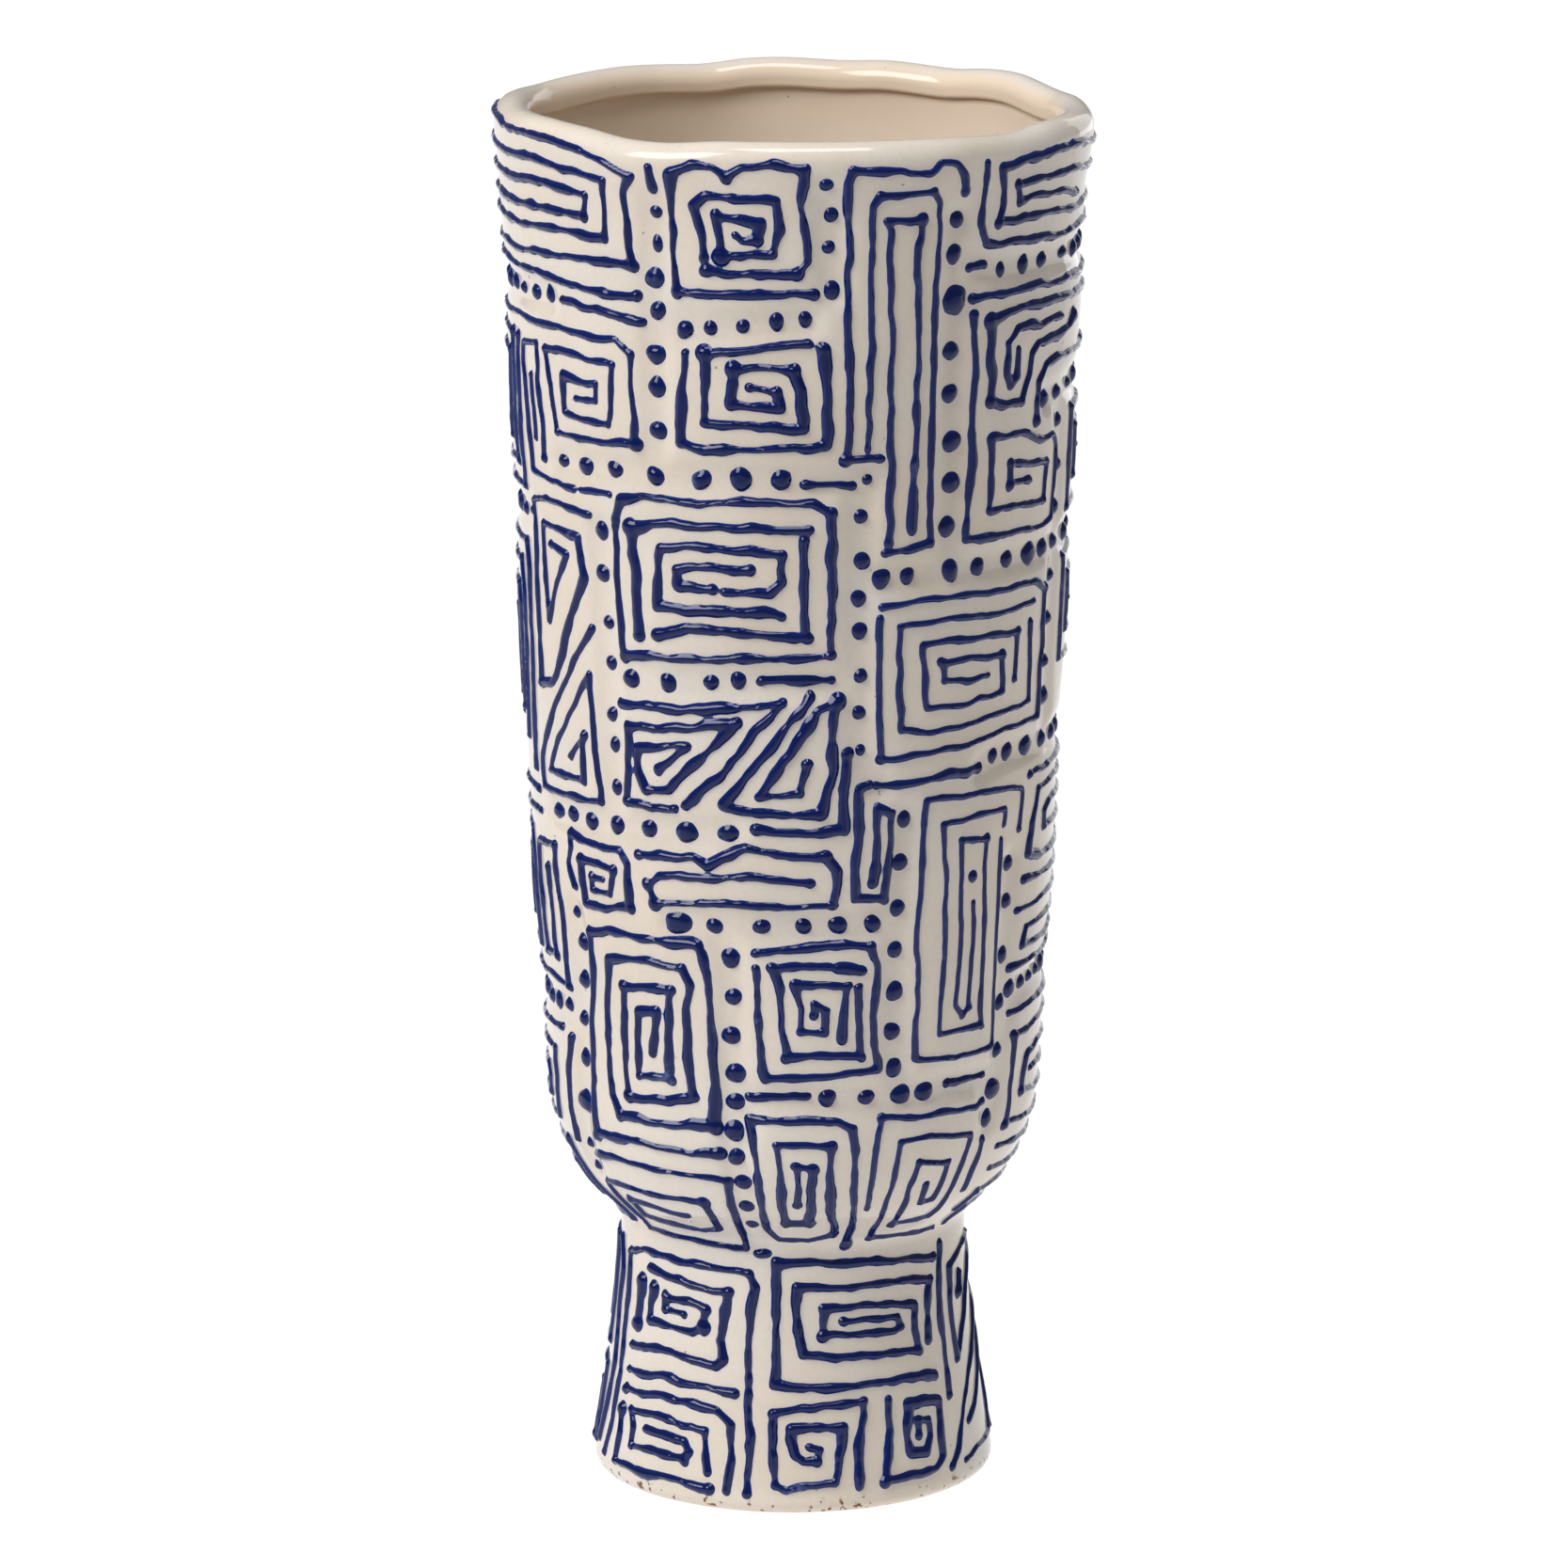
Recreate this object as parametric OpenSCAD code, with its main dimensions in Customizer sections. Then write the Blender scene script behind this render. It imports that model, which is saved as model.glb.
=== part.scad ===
// A tall pottery vase with slip-trailed keys and dots, standing on a hollow flared foot.
// Millimetres. The origin is the centre of the foot ring's underside, and +Z is up.
// Angles round the vase are in degrees from -Y, the front, towards +X, its right-hand side.

/* [Whole vase] */
// Height from the foot ring to the top of the lip
vase_h = 331; // [290:1:400]
// Thickness of the clay walls
wall_t = 6.5; // [5:0.1:8.5]

/* [Foot] */
// Height of the hollow foot, up to the waist
foot_h = 62.5; // [48:0.5:75]
// Outer radius at the foot ring, before its edge is rounded
foot_r = 48.3; // [44:0.1:60]
// Outer radius at the waist
waist_r = 41.2; // [34:0.1:50]
// Rounding of the foot ring's outer edge
foot_edge = 3; // [1:0.1:4]

/* [Bowl and wall] */
// Height of the curved bowl, from the waist to the shoulder
bowl_h = 37.5; // [32:0.5:50]
// Outer radius at the shoulder, where the bowl meets the wall
shoulder_r = 58.3; // [52:0.1:70]
// Outer radius of the wall at the lip
top_r = 69.3; // [62:0.1:84]
// Thickness of the floor inside the bowl
floor_t = 8; // [5:0.5:12]

/* [Lip] */
// Thickness of the rolled lip
lip_t = 9; // [8.5:0.1:12]
// Height of the rolled lip band
lip_h = 8; // [6:0.1:12]
// How far the wall flares out just under the lip
lip_flare = 1; // [0:0.1:3]

/* [Slip trails] */
// Usual width of a trailed line
line_w = 2; // [1.5:0.1:3.2]
// How far a line stands out of the clay
line_h = 0.9; // [0.5:0.1:1.5]
// How deep lines and dots bite into the clay
bite = 0.2; // [0.2:0.05:0.4]
// Usual width of a dot
dot_d = 4.3; // [3:0.1:5]
// How far a dot stands out of the clay
dot_h = 1.1; // [0.5:0.1:2]
// Distance between the centres of neighbouring lines in a coiled key
pitch = 5; // [4.5:0.1:7]

/* [Hidden] */
clay = "antiquewhite";
bare = "tan";
cobalt = "midnightblue";
shoulder_z = foot_h + bowl_h;
lip_z = vase_h - lip_t / 2;
band_z = vase_h - lip_h;
floor_z = foot_h + floor_t;
// How quickly the foot draws in to the waist, and how soon the wall widens above the shoulder
foot_sweep = 1.5;
wall_swell = 0.8;
// Height over which the wall flares out under the lip
flare_h = 14;
// How far down the sloping bowl the outline is read for the inner one, in wall thicknesses
bowl_slant = 0.6;
// Rounding of the two corners of the ledge inside the lip
tuck = 0.7;
// The layout of the slip is drawn on a vase of these heights, and is stretched to the real ones
drawn_z = [0, 62.5, 100, 331];
// Half width that a usual line is drawn with in the layout
drawn_half = 1.35;
// Longest stretch of a line: in degrees round the vase, and in height on the bowl and on the wall
turn_step = 9.5;
bowl_step = 9;
wall_step = 45;
// Height above the shoulder up to which the clay still curves
curved_h = 4;
// Sharpest corner at which a line keeps its width, as the cosine of half the turn
mitre = 0.6;
// Sides of a dot, and the width and height of its shoulder as shares of the whole dot
dot_sides = 8;
dot_crown = [0.65, 0.75];
$fn = 96;

// ---- Shape of the clay ----

// Outer radius of the foot at height z, drawn in towards the waist
function foot_curve(z) = waist_r + (foot_r - waist_r) * pow(1 - max(z, 0) / foot_h, foot_sweep);
// Rise of the bowl for u from 0 at the waist to 1 at the shoulder, with a small fillet at the waist
function bowl_rise(u) = (1 - pow(1 - u, 2)) * (1 - pow(1 - min(3 * u, 1), 2));
function bowl_curve(z) = waist_r + (shoulder_r - waist_r) * bowl_rise((z - foot_h) / bowl_h);
// Outer radius of the wall, which is slightly swollen above the shoulder and flares at the lip
function ease(x) = let (c = min(max(x, 0), 1)) c * c * (3 - 2 * c);
function wall_curve(z) = shoulder_r
    + (top_r - shoulder_r) * pow((z - shoulder_z) / (lip_z - shoulder_z), wall_swell)
    + lip_flare * ease((z - lip_z) / flare_h + 1);
// Outer radius of the rolled lip above its widest height
function lip_curve(z) = wall_curve(lip_z) - lip_t / 2
    + sqrt(max(pow(lip_t / 2, 2) - pow(z - lip_z, 2), 0.01));
function clay_r(z) = z < foot_h ? foot_curve(z)
    : z < shoulder_z ? bowl_curve(z)
    : z < lip_z ? wall_curve(z) : lip_curve(z);
// Inner radius, stepped up so that the sloping bowl keeps its thickness
function inner_r(z) = clay_r(z - bowl_slant * wall_t) - wall_t;

// Points of an outline between two heights, outside going up or inside going down
function outside(z0, z1, n) = [for (i = [0:n]) let (z = z0 + (z1 - z0) * i / n) [clay_r(z), z]];
function inside(z0, z1, n) = [for (i = [0:n]) let (z = z1 + (z0 - z1) * i / n) [inner_r(z), z]];

module turned(outline, finish) color(finish) rotate_extrude() polygon(outline);

module foot() turned(concat(
    [for (i = [0:6]) let (a = -90 + i * 15)
        [foot_curve(foot_edge) + foot_edge * (cos(a) - 1), foot_edge * (sin(a) + 1)]],
    outside(foot_edge + 1, foot_h, 14),
    [for (i = [0:12]) let (z = foot_h * (1 - i / 12)) [foot_curve(z) - wall_t, z]]
), clay);

module bowl() turned(concat(
    outside(foot_h, shoulder_z, 24),
    inside(floor_z, shoulder_z, 16),
    [[inner_r(floor_z), foot_h]]
), clay);

module floor() color(bare) translate([0, 0, foot_h]) cylinder(r = inner_r(floor_z), h = floor_t);

module wall() turned(concat(
    outside(shoulder_z, band_z, 24),
    inside(shoulder_z, band_z, 12)
), clay);

// The lip is a roll of clay a little thicker than the wall, so it leaves a ledge inside
module lip_band() {
    roll = lip_t / 2;
    middle = wall_curve(lip_z) - roll;
    ledge = middle - roll;
    turned(concat(
        outside(band_z, lip_z - tuck, 4),
        [for (i = [0:16]) let (a = i * 180 / 16) [middle + roll * cos(a), lip_z + roll * sin(a)]],
        [[ledge + tuck, band_z + tuck], [ledge + 2 * tuck, band_z]]
    ), clay);
}

// ---- Slip trails: lines and dots that follow the clay ----

// Real height of a height in the layout
function real_z(z) = lookup(z, [[drawn_z[0], 0], [drawn_z[1], foot_h],
    [drawn_z[2], shoulder_z], [drawn_z[3], vase_h]]);
function unit(v) = v / norm(v);
function slope(z) = clay_r(z + 0.5) - clay_r(z - 0.5);
function on_clay(q) = let (r = clay_r(q[1])) [r * sin(q[0]), -r * cos(q[0]), q[1]];
function outward(q) = let (k = slope(q[1])) unit([sin(q[0]), -cos(q[0]), -k]);

// A line is a list of [angle, height] points, with its drawn half width as a third number where
// that differs from usual
function half_w(p) = (len(p) > 2 ? p[2] : drawn_half) / drawn_half * line_w / 2;
function knot(p) = [p[0], real_z(p[1]), half_w(p)];
// Pieces that a stretch is cut into, so that it follows the round clay
function cuts(a, b) = let (curved = min(a[1], b[1]) < shoulder_z + curved_h)
    max(1, ceil(max(abs(b[0] - a[0]) / turn_step,
        abs(b[1] - a[1]) / (curved ? bowl_step : wall_step))));
function stations(line) = let (k = [for (p = line) knot(p)]) [
    for (i = [0:len(k) - 2]) let (n = cuts(k[i], k[i + 1]))
        each [for (j = [0:n - 1]) k[i] + (k[i + 1] - k[i]) * j / n],
    k[len(k) - 1]
];
// The three corners of a line's section at station i: left foot, ridge and right foot
function section(s, p, i) = let (
    last = len(p) - 1,
    before = unit(p[max(i, 1)] - p[max(i, 1) - 1]),
    after = unit(p[min(i + 1, last)] - p[min(i, last - 1)]),
    along = unit(before + after),
    up = outward(s[i]),
    across = unit(cross(up, along)) * s[i][2] / max(along * before, mitre)
) [p[i] + across - up * bite, p[i] + up * line_h, p[i] - across - up * bite];

module trail(line) {
    s = stations(line);
    p = [for (q = s) on_clay(q)];
    end = 3 * (len(s) - 1);
    polyhedron(
        points = [for (i = [0:len(s) - 1]) each section(s, p, i)],
        faces = [
            [0, 1, 2], [end, end + 2, end + 1],
            for (i = [0:3:end - 3], k = [0:2]) let (a = i + k, b = i + (k + 1) % 3)
                each [[a, b + 3, b], [a, a + 3, b + 3]]
        ]
    );
}

// A dot is [angle, height], with its half width and half height where they differ from usual
module bead(d) {
    q = [d[0], real_z(d[1])];
    a = len(d) > 2 ? d[2] : dot_d / 2;
    b = len(d) > 3 ? d[3] : a;
    up = outward(q);
    side = [cos(q[0]), sin(q[0]), 0];
    rise = cross(up, side);
    n = dot_sides;
    ring = [for (i = [0:n - 1]) let (t = i * 360 / n) a * cos(t) * side + b * sin(t) * rise];
    polyhedron(
        points = [
            for (v = ring) on_clay(q) + v - up * bite,
            for (v = ring) on_clay(q) + v * dot_crown[0] + up * dot_h * dot_crown[1],
            on_clay(q) + up * dot_h
        ],
        faces = [
            [for (i = [0:n - 1]) i],
            for (i = [0:n - 1]) let (j = (i + 1) % n)
                each [[i, j + n, j], [i, i + n, j + n], [i + n, 2 * n, j + n]]
        ]
    );
}

module slip(lines, dots = []) color(cobalt) {
    for (line = lines) trail(line);
    for (dot = dots) bead(dot);
}

// Points of a key that coils inwards from one corner, n sides long, first along the height
function coil(a0, z0, a1, z1, n) = let (
    middle = clay_r(real_z((z0 + z1) / 2)),
    da = sign(a1 - a0) * pitch * 180 / PI / middle,
    dz = sign(z1 - z0) * pitch
) [for (k = [0:n]) let (j = floor(k / 4), c = k % 4) [
    c == 0 || c == 1 ? a0 + j * da : a1 - j * da,
    c == 0 ? z0 + max(j - 1, 0) * dz : c == 3 ? z0 + j * dz : z1 - j * dz
]];

// Keys nested inside each other, all open at a0
function nest(a0, z0, a1, z1, n) = let (
    da = sign(a1 - a0) * pitch * 180 / PI / clay_r(real_z((z0 + z1) / 2))
) [for (k = [0:n - 1]) [[a0, z1 - k * pitch], [a1 - k * da, z1 - k * pitch],
    [a1 - k * da, z0 + k * pitch], [a0, z0 + k * pitch]]];

// A row of dots at one height, or a column at one angle
function row(z, a0, a1, n) = [for (i = [0:n - 1]) [a0 + (a1 - a0) * i / (n - 1), z]];
function column(a, z0, z1, n) = [for (i = [0:n - 1]) [a, z0 + (z1 - z0) * i / (n - 1)]];

// ---- Keys under the lip ----

module key_lip_left() slip([
    [[-106, 328], [-50, 327.4], [-40, 326], [-32.6, 323, 1.7], [-34, 319], [-34, 306],
        [-33, 302, 1.6], [-50, 301.5], [-85, 300.6], [-106, 300.4]],
    [[-106, 322], [-60, 322.4], [-38.5, 321.2], [-39, 314], [-39.6, 307.2], [-60, 307.6], [-106, 307]],
    [[-106, 316.6], [-68, 317.3], [-60, 318], [-43.7, 316.8, 1.5], [-44.8, 311.6], [-60, 312],
        [-106, 311.6]],
    [[-106, 296.5], [-65, 296.6], [-50, 295.3], [-38, 294.3], [-32, 295, 1.7]],
    [[-52, 291.3], [-40, 290.2], [-30.8, 288.9, 1.4]]
]);

module key_lip_front() slip([
    [[4, 296.8], [-10, 296.9], [-23.2, 296.7, 1.7], [-23.7, 301, 1.5], [-24, 316], [-23.4, 324.6, 1.9],
        [-19.5, 326.6], [-15.5, 326], [-12.6, 323.8, 1.5], [-9.5, 326.2], [-4, 326.6],
        [2, 325, 1.7], [1.4, 318], [2.7, 304.5], [0.8, 301.8, 1.6], [-8, 302.2], [-12, 301.7],
        [-17, 302.3, 1.7]],
    [[-17.7, 305.2, 1.7], [-18.4, 311], [-19.4, 317, 1.7], [-17, 319.2], [-9, 319.3], [-3.1, 318.9],
        [-2.7, 312], [-4.4, 306.8, 1.5], [-8, 306.9], [-13.9, 305.9, 1.7], [-14.4, 310.4],
        [-14.9, 315, 1.5], [-11.3, 314.7, 1.2], [-6.2, 313.7, 1.3], [-7, 310.2, 1.2],
        [-9.9, 309.5, 1.1], [-11.3, 310.6, 1.1]]
]);

module key_tall_front() slip([
    [[17.5, 258, 1.5], [10.4, 258, 1.6], [11.2, 275], [10.6, 296], [10.4, 322], [11.2, 325],
        [20.5, 324.8], [22.5, 323.8, 1.8], [27, 323.8, 1.8], [29, 325.8], [32, 325.2],
        [34, 322.5, 1.7], [34.5, 318.8, 1.8]],
    [[15, 260.3], [15.4, 285], [15.2, 317], [16.8, 319.3], [27.3, 319.3], [29, 316.5],
        [29, 290], [28.5, 262], [28.7, 237, 1.7], [19, 235.9, 1.5]],
    [[19.8, 238.5, 1.6], [19.8, 262], [19.2, 285], [19.2, 311], [18.2, 313.4, 1.5],
        [25.2, 313.2, 1.5], [24.6, 308], [25.2, 285], [25, 262], [24.5, 241, 1.6]]
]);

module key_lip_right() slip([
    [[39, 325, 1.2], [38.8, 318], [38.5, 311, 1.5], [40.3, 307], [43, 305.7], [54, 305.4],
        [62, 304.4], [72, 305.2], [104, 304.4]],
    [[104, 322.6], [80, 324], [70, 325.2], [60, 325.3], [50, 324.7], [43.5, 323.6, 1.5],
        [44, 316], [43.4, 310.7, 1.5], [50, 311.1], [62, 310.3], [104, 309.6]],
    [[104, 316.6], [79, 318.2], [72, 319.7], [60, 319.7], [48.3, 319.3, 1.5], [49.2, 315.3],
        [56, 315.8], [64, 314.9], [71.5, 313.9, 1.5]],
    [[37.8, 293.4], [54, 294.2], [66, 293.7], [104, 293.2]]
]);

// ---- Keys of the upper wall ----

module key_neck_left() slip([
    [[-106, 284.6], [-60, 284.3], [-37.5, 284], [-33.8, 281, 1.6], [-33.5, 272], [-32.9, 260, 1.7],
        [-42, 259.8], [-55.5, 259.8], [-57, 270], [-58.4, 278.6, 1.6], [-48, 278.8], [-38.4, 278.1],
        [-38.7, 268], [-39.6, 264.2], [-46, 264.5], [-51.9, 265.1, 1.6], [-52.9, 273.4, 1.7],
        [-48, 272.9], [-42.3, 273.1], [-42.6, 269.3, 1.3], [-48.7, 269.2, 1.3]]
]);

module key_neck_front() slip([
    [[-21.8, 282.8, 1.2], [-22.5, 274], [-22.8, 261.4, 1.6], [-18, 260.2], [-5, 261],
        [6.4, 261.7, 1.5], [6.5, 272], [5.9, 284, 1.8]],
    [[3.2, 285.2], [-5, 284.5], [-17.8, 282.6, 1.8], [-17.8, 274], [-17.8, 266.8, 1.6],
        [-12, 266.3], [1.6, 266.3, 1.6], [1.5, 275], [0.3, 279.2], [-6, 279.7],
        [-11.8, 279.3, 1.8], [-12.3, 270.9, 1.7], [-8, 270.6], [-2.6, 270.9], [-2.9, 274.6, 1.2],
        [-8.5, 275, 1.2]]
]);

module key_narrow_left() slip([
    [[-50.4, 247.2], [-58, 247.6], [-65.8, 248.6], [-67, 258], [-67.5, 268], [-68.4, 278.6, 1.2],
        [-62, 279.5], [-61.6, 270], [-61, 260], [-61, 252.9, 1.9]],
    [[-64.6, 271.5, 1.1], [-64.3, 262, 1.1], [-64.2, 256.6, 1.1]],
    [[-48.4, 247.3, 1.2], [-40, 247.2]]
]);

module key_neck_right() slip([
    [[104, 288.4], [73, 289], [64, 290], [50, 289.6], [42.5, 288, 1.6], [42.8, 277, 1.7],
        [43.3, 268.4, 1.5], [47, 266.9], [52.3, 267.2], [54, 273], [54.8, 278.6], [57.2, 280.5],
        [66, 280.7], [70.8, 281.6], [74.2, 284, 2.6]],
    [[66.5, 285], [54, 285], [50, 284.6], [47.2, 282, 1.2], [47.3, 274.4, 1.1], [48.3, 271.8, 1.1],
        [50.2, 273.4, 1.1], [50.2, 280, 1]],
    [[58.2, 261.9, 1.5], [58.4, 271], [61, 274.7], [68, 275.5], [104, 275]]
]);

module key_side_right() slip([
    [[38, 289.8, 1.7], [38.6, 275, 1.7], [38.4, 263, 1.6], [39, 254, 1.5], [38, 243, 1.7],
        [38.2, 236.9, 1.8], [50, 236.7], [63, 236], [66.8, 237.2], [67.5, 246], [68, 254, 1.5],
        [65.5, 257], [58.5, 256.9, 1.9], [54, 259.7], [44, 260, 1.7], [44.2, 250, 1.6],
        [43.9, 242.9, 1.6], [54, 242.4], [62.3, 242.6], [63, 251.3], [56, 251.8],
        [49.6, 252.9, 1.7], [49.8, 248.2, 1.8], [56, 248, 1.4]]
]);

module key_far_left() slip([
    coil(-71.6, 279.6, -104, 243.6, 9),
    [[-104, 177], [-104, 230.5], [-72.5, 230.6], [-70.8, 222], [-71, 205], [-73.8, 175.5, 1.5]],
    [[-98.6, 178], [-98.6, 224.6], [-78, 224.8], [-75.6, 219], [-76, 205], [-78.6, 182]],
    [[-93, 184], [-93, 218.6], [-82, 218.6], [-80.6, 214], [-81, 205], [-83.2, 188]],
    [[-88, 190], [-87.4, 212]]
]);

module key_far_right() slip([
    [[104, 200], [90, 200.4], [77, 201, 1.6], [76.8, 226], [104, 226.4], [104, 206.4],
        [83, 206.4], [83, 220.4], [98, 220.6], [98, 212.6], [89, 212.8]],
    [[104, 238], [78, 237.4, 1.6], [77.6, 261, 1.7], [104, 262], [104, 244], [84, 243.6],
        [84, 255.6], [98, 256], [98, 249.8], [89.4, 249.8]]
]);

// ---- Keys of the middle wall ----

module key_wide_front() slip([
    [[-38.6, 241.4, 1.5], [-37.2, 246.5, 1.6], [-32, 247.8], [-15, 248], [4, 248.2],
        [7.6, 245.5, 1.6], [7.4, 234], [8, 224], [7.8, 211.4, 1.5], [-10, 210.8], [-28, 209.9],
        [-38.5, 209.2, 1.5], [-38.8, 225], [-38.7, 239.8]],
    [[-33.8, 214.8, 1.7], [-34, 228], [-34.6, 240, 1.7], [-30, 242], [-15, 242.3], [3, 241.8]],
    [[2.2, 239.3], [1.9, 228], [2.5, 216.4, 1.5], [-8, 216.8], [-22, 217.8], [-29, 215.4, 1.6]],
    [[-14, 227, 1.2], [-5, 226.7], [-2.6, 229.4], [-2.6, 235.8, 1.5], [-9, 237], [-22, 237.3],
        [-28, 236.4, 1.6], [-28.8, 230], [-28.6, 222.5], [-22, 221.8], [-17, 222.5, 1.7],
        [-10, 221.9, 1.6], [-6, 222.5, 1.6], [-2.5, 221.6, 1.2]],
    [[-9, 232.2], [-20, 232.8], [-24.4, 232, 1.5], [-24, 227.9, 1.5], [-16.5, 227.4]]
]);

module key_wide_right() slip([
    [[18, 220.4], [18, 206], [18.6, 192], [19, 186.7, 1.5], [30, 187.3], [44, 188], [54, 189.3],
        [64.5, 189.6, 1.6], [64.7, 205, 1.7], [65.3, 221, 1.8], [60, 223.3], [44, 223.2],
        [27, 223.8], [18.3, 223, 1.4]],
    [[60, 218.6], [48, 218], [34, 218.3], [22.3, 218, 1.6], [22.7, 206], [23.3, 193.1, 1.6],
        [30, 192], [46, 193.4], [60, 194.5, 1.5], [59.4, 206, 1.5], [58.8, 213.8, 1.9]],
    [[53.6, 201, 1.6], [54, 212.4, 1.5], [44, 213.2], [34, 213.2], [28, 212.8, 1.5],
        [28.6, 205], [29, 198.1, 1.5], [36, 197.6], [43, 198.6], [49.6, 198.7, 1.5],
        [48.9, 207.9, 1.5], [40, 208.8], [32.5, 208, 1.6], [33.2, 204, 1.3], [39, 203.6],
        [45, 203.6]]
]);

module triangle_upper_left() slip([
    [[-46.6, 241.8], [-55, 242.6], [-61, 243], [-66.7, 241.5, 1.5], [-66.2, 228], [-66, 210],
        [-66.2, 197.8, 2], [-60.8, 199.4, 1.5], [-57, 206, 1.7], [-53, 217, 1.9], [-48.4, 226.5, 1.8],
        [-49.8, 235.4], [-56, 236.7], [-62.3, 236.8], [-62, 228], [-61.2, 213.4, 1.4],
        [-58.5, 220.5], [-53.6, 231, 1.3], [-59, 232.4, 1.3]]
]);

module triangle_lower_left() slip([
    [[-46.9, 214.8, 1.6], [-52, 207.5], [-60, 194], [-68.5, 179.5], [-69, 171.6, 1.5],
        [-58, 171.8], [-46.8, 172.8, 1.7], [-47, 182], [-48.2, 203.4, 1.4], [-55.5, 191.5],
        [-64.4, 177.2], [-58, 176.8], [-51.4, 176.9], [-50.7, 187.4, 1.5], [-55.3, 182]]
]);

module slant_front() slip([
    [[-39.5, 197.5], [-28, 198.2], [-8, 199.7], [-2.6, 200.8, 1.4], [-9, 192], [-15.5, 183],
        [-23.4, 174.9, 1.5]],
    [[-26.2, 174.1], [-32, 173.8], [-38.8, 174.4, 1.5], [-37.8, 183], [-37.6, 192.5],
        [-28, 193.4], [-11.9, 195.9, 1.8], [-18, 188.5, 1.8], [-27.5, 178.5], [-33.3, 178.1],
        [-35.1, 182], [-35, 187.7, 1.5], [-28.5, 188.9], [-22.6, 189.6, 1.4], [-26, 186.2, 1.4],
        [-29.8, 183, 1.5]]
]);

module triangle_front() slip([
    [[3.4, 201.9, 1.5], [-3, 193.3], [-11, 181.8], [-15.2, 175.7, 1.6], [-8, 174.4],
        [6, 174.6, 1.6], [7.8, 182], [8.3, 193], [9.2, 200.5, 1.9], [5, 199, 1.7],
        [-1, 188.5, 1.7], [-7.4, 178.5], [1.2, 179.4], [2.8, 186.6, 1.2]],
    [[11.5, 188.5, 1.4], [10.9, 180], [11, 170.3], [0, 169.8], [-8.2, 170, 1.6]]
]);

// ---- Keys of the lower wall ----

module key_long_front() slip([
    [[-35.8, 161.7, 1.5], [-30, 163], [-22, 163], [-19, 161.1], [-14, 163.6, 1.7],
        [-10.5, 165.2, 1.8], [-7, 164.6], [7, 164.2], [9.3, 160.5, 1.6], [8.7, 152.1, 1.6],
        [0, 151.6], [-15, 152.4], [-31.3, 150.9, 1.5], [-33, 155], [-30, 158], [-20, 157.9],
        [-10, 159], [3.8, 157.8]]
]);

module key_narrow_front() slip([
    [[16.8, 180.4, 1.2], [13.9, 179.8, 1.3], [14.2, 172], [13.3, 160], [13.8, 153.5],
        [20.8, 152.7, 1.5], [21, 163], [21.8, 173.4, 1.4], [18, 175.2, 1.5], [18, 166],
        [17.3, 157, 1.4]]
]);

module key_small_left() slip([
    [[-56.5, 150.2, 1.2], [-58.4, 155.4], [-57.3, 159.3], [-58.2, 162.6], [-50, 161.7], [-41, 161.8],
        [-38.6, 159], [-38, 148.6, 1.6], [-45, 147.2], [-53, 146.6, 1.5], [-53.3, 157.4, 1.5],
        [-47.5, 157.6], [-42.8, 156.6], [-43.6, 150.8, 1.3], [-49.8, 150.7, 1.2],
        [-49.7, 154, 1.1], [-46, 154, 1.1]]
]);

module key_tall_left() slip([
    [[-17.8, 91, 1.6], [-25, 90.5], [-42, 91.4], [-53.4, 90.5, 1.6], [-53, 104], [-52.6, 118],
        [-51.6, 130], [-52.3, 140, 1.7], [-45, 142], [-30, 142], [-21.5, 141, 1.6], [-19.6, 135],
        [-19, 122], [-18.4, 108], [-18.3, 97, 1.6], [-30, 96.8], [-44, 96.8], [-46.6, 101, 1.5],
        [-47, 112], [-46.6, 124], [-45.3, 134.6, 1.5], [-35, 136.4], [-25.5, 135.6, 1.5],
        [-23.7, 132], [-24.6, 126], [-24.4, 117], [-23.6, 103.7, 1.5], [-30, 102.6],
        [-41, 102.1], [-41.6, 112], [-41, 128.6, 1.5], [-35, 129.8], [-28.3, 129.8, 1.5],
        [-29, 118], [-28.9, 107.7], [-37.4, 107.5], [-37.2, 116], [-37, 123.6, 1.4],
        [-32, 124.3, 1.2], [-33, 113.5, 1.4]]
]);

module key_square_front() slip([
    [[-8.3, 136.6, 1.2], [-8, 126], [-7.3, 112, 1.5], [-6.3, 109.8], [4, 110], [14, 110.8],
        [19.6, 111.8, 1.6], [18.4, 124], [18.7, 137.5], [17.3, 141.8], [8, 142.2],
        [-3, 141.2], [-8.2, 140.2, 1.5]],
    [[8.4, 137.4, 1.2], [2, 137.2], [-4.7, 136.7, 1.5], [-3.4, 132], [-2.8, 124], [-1.5, 115.3],
        [6, 115.3], [15.3, 114.8, 1.5], [15, 124], [14.7, 131.8, 1.4]],
    [[10.2, 137, 1.8], [14.9, 135.8, 1.6]],
    [[10.8, 119, 1.5], [11.4, 126], [12.3, 132.4, 1.3], [6, 133], [0, 132.5, 1.4], [1.5, 127],
        [1.6, 121.7, 1.4], [7, 121, 1.3], [7.4, 126.4, 1.3], [4.8, 128.2, 1.4], [4.6, 125.2, 1.2]]
]);

module key_tall_right() slip([
    [[58.6, 163.5, 1.5], [59, 173.8, 1.5], [46, 175.4], [29.5, 175.7], [29, 165], [28.4, 140],
        [29, 113.1, 1.5], [40, 111.4], [52.9, 112.1, 1.6], [52.4, 125], [51.8, 140],
        [52, 162.3]],
    [[52.6, 165.5, 1.1], [52.9, 169.6, 1.1], [44, 170], [34.2, 169.4, 1.4], [35, 155],
        [35.2, 130], [34.6, 118.1, 1.5], [47.7, 118.1, 1.6], [46.8, 132], [46.6, 150],
        [46.8, 163.4, 1.5], [39, 164.7], [39.4, 150], [39.2, 124.4], [41.1, 121.6],
        [43.1, 123.4], [43, 135], [43, 148.8, 1.4]]
], [[42.7, 155.6, 1.5]]);

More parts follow.
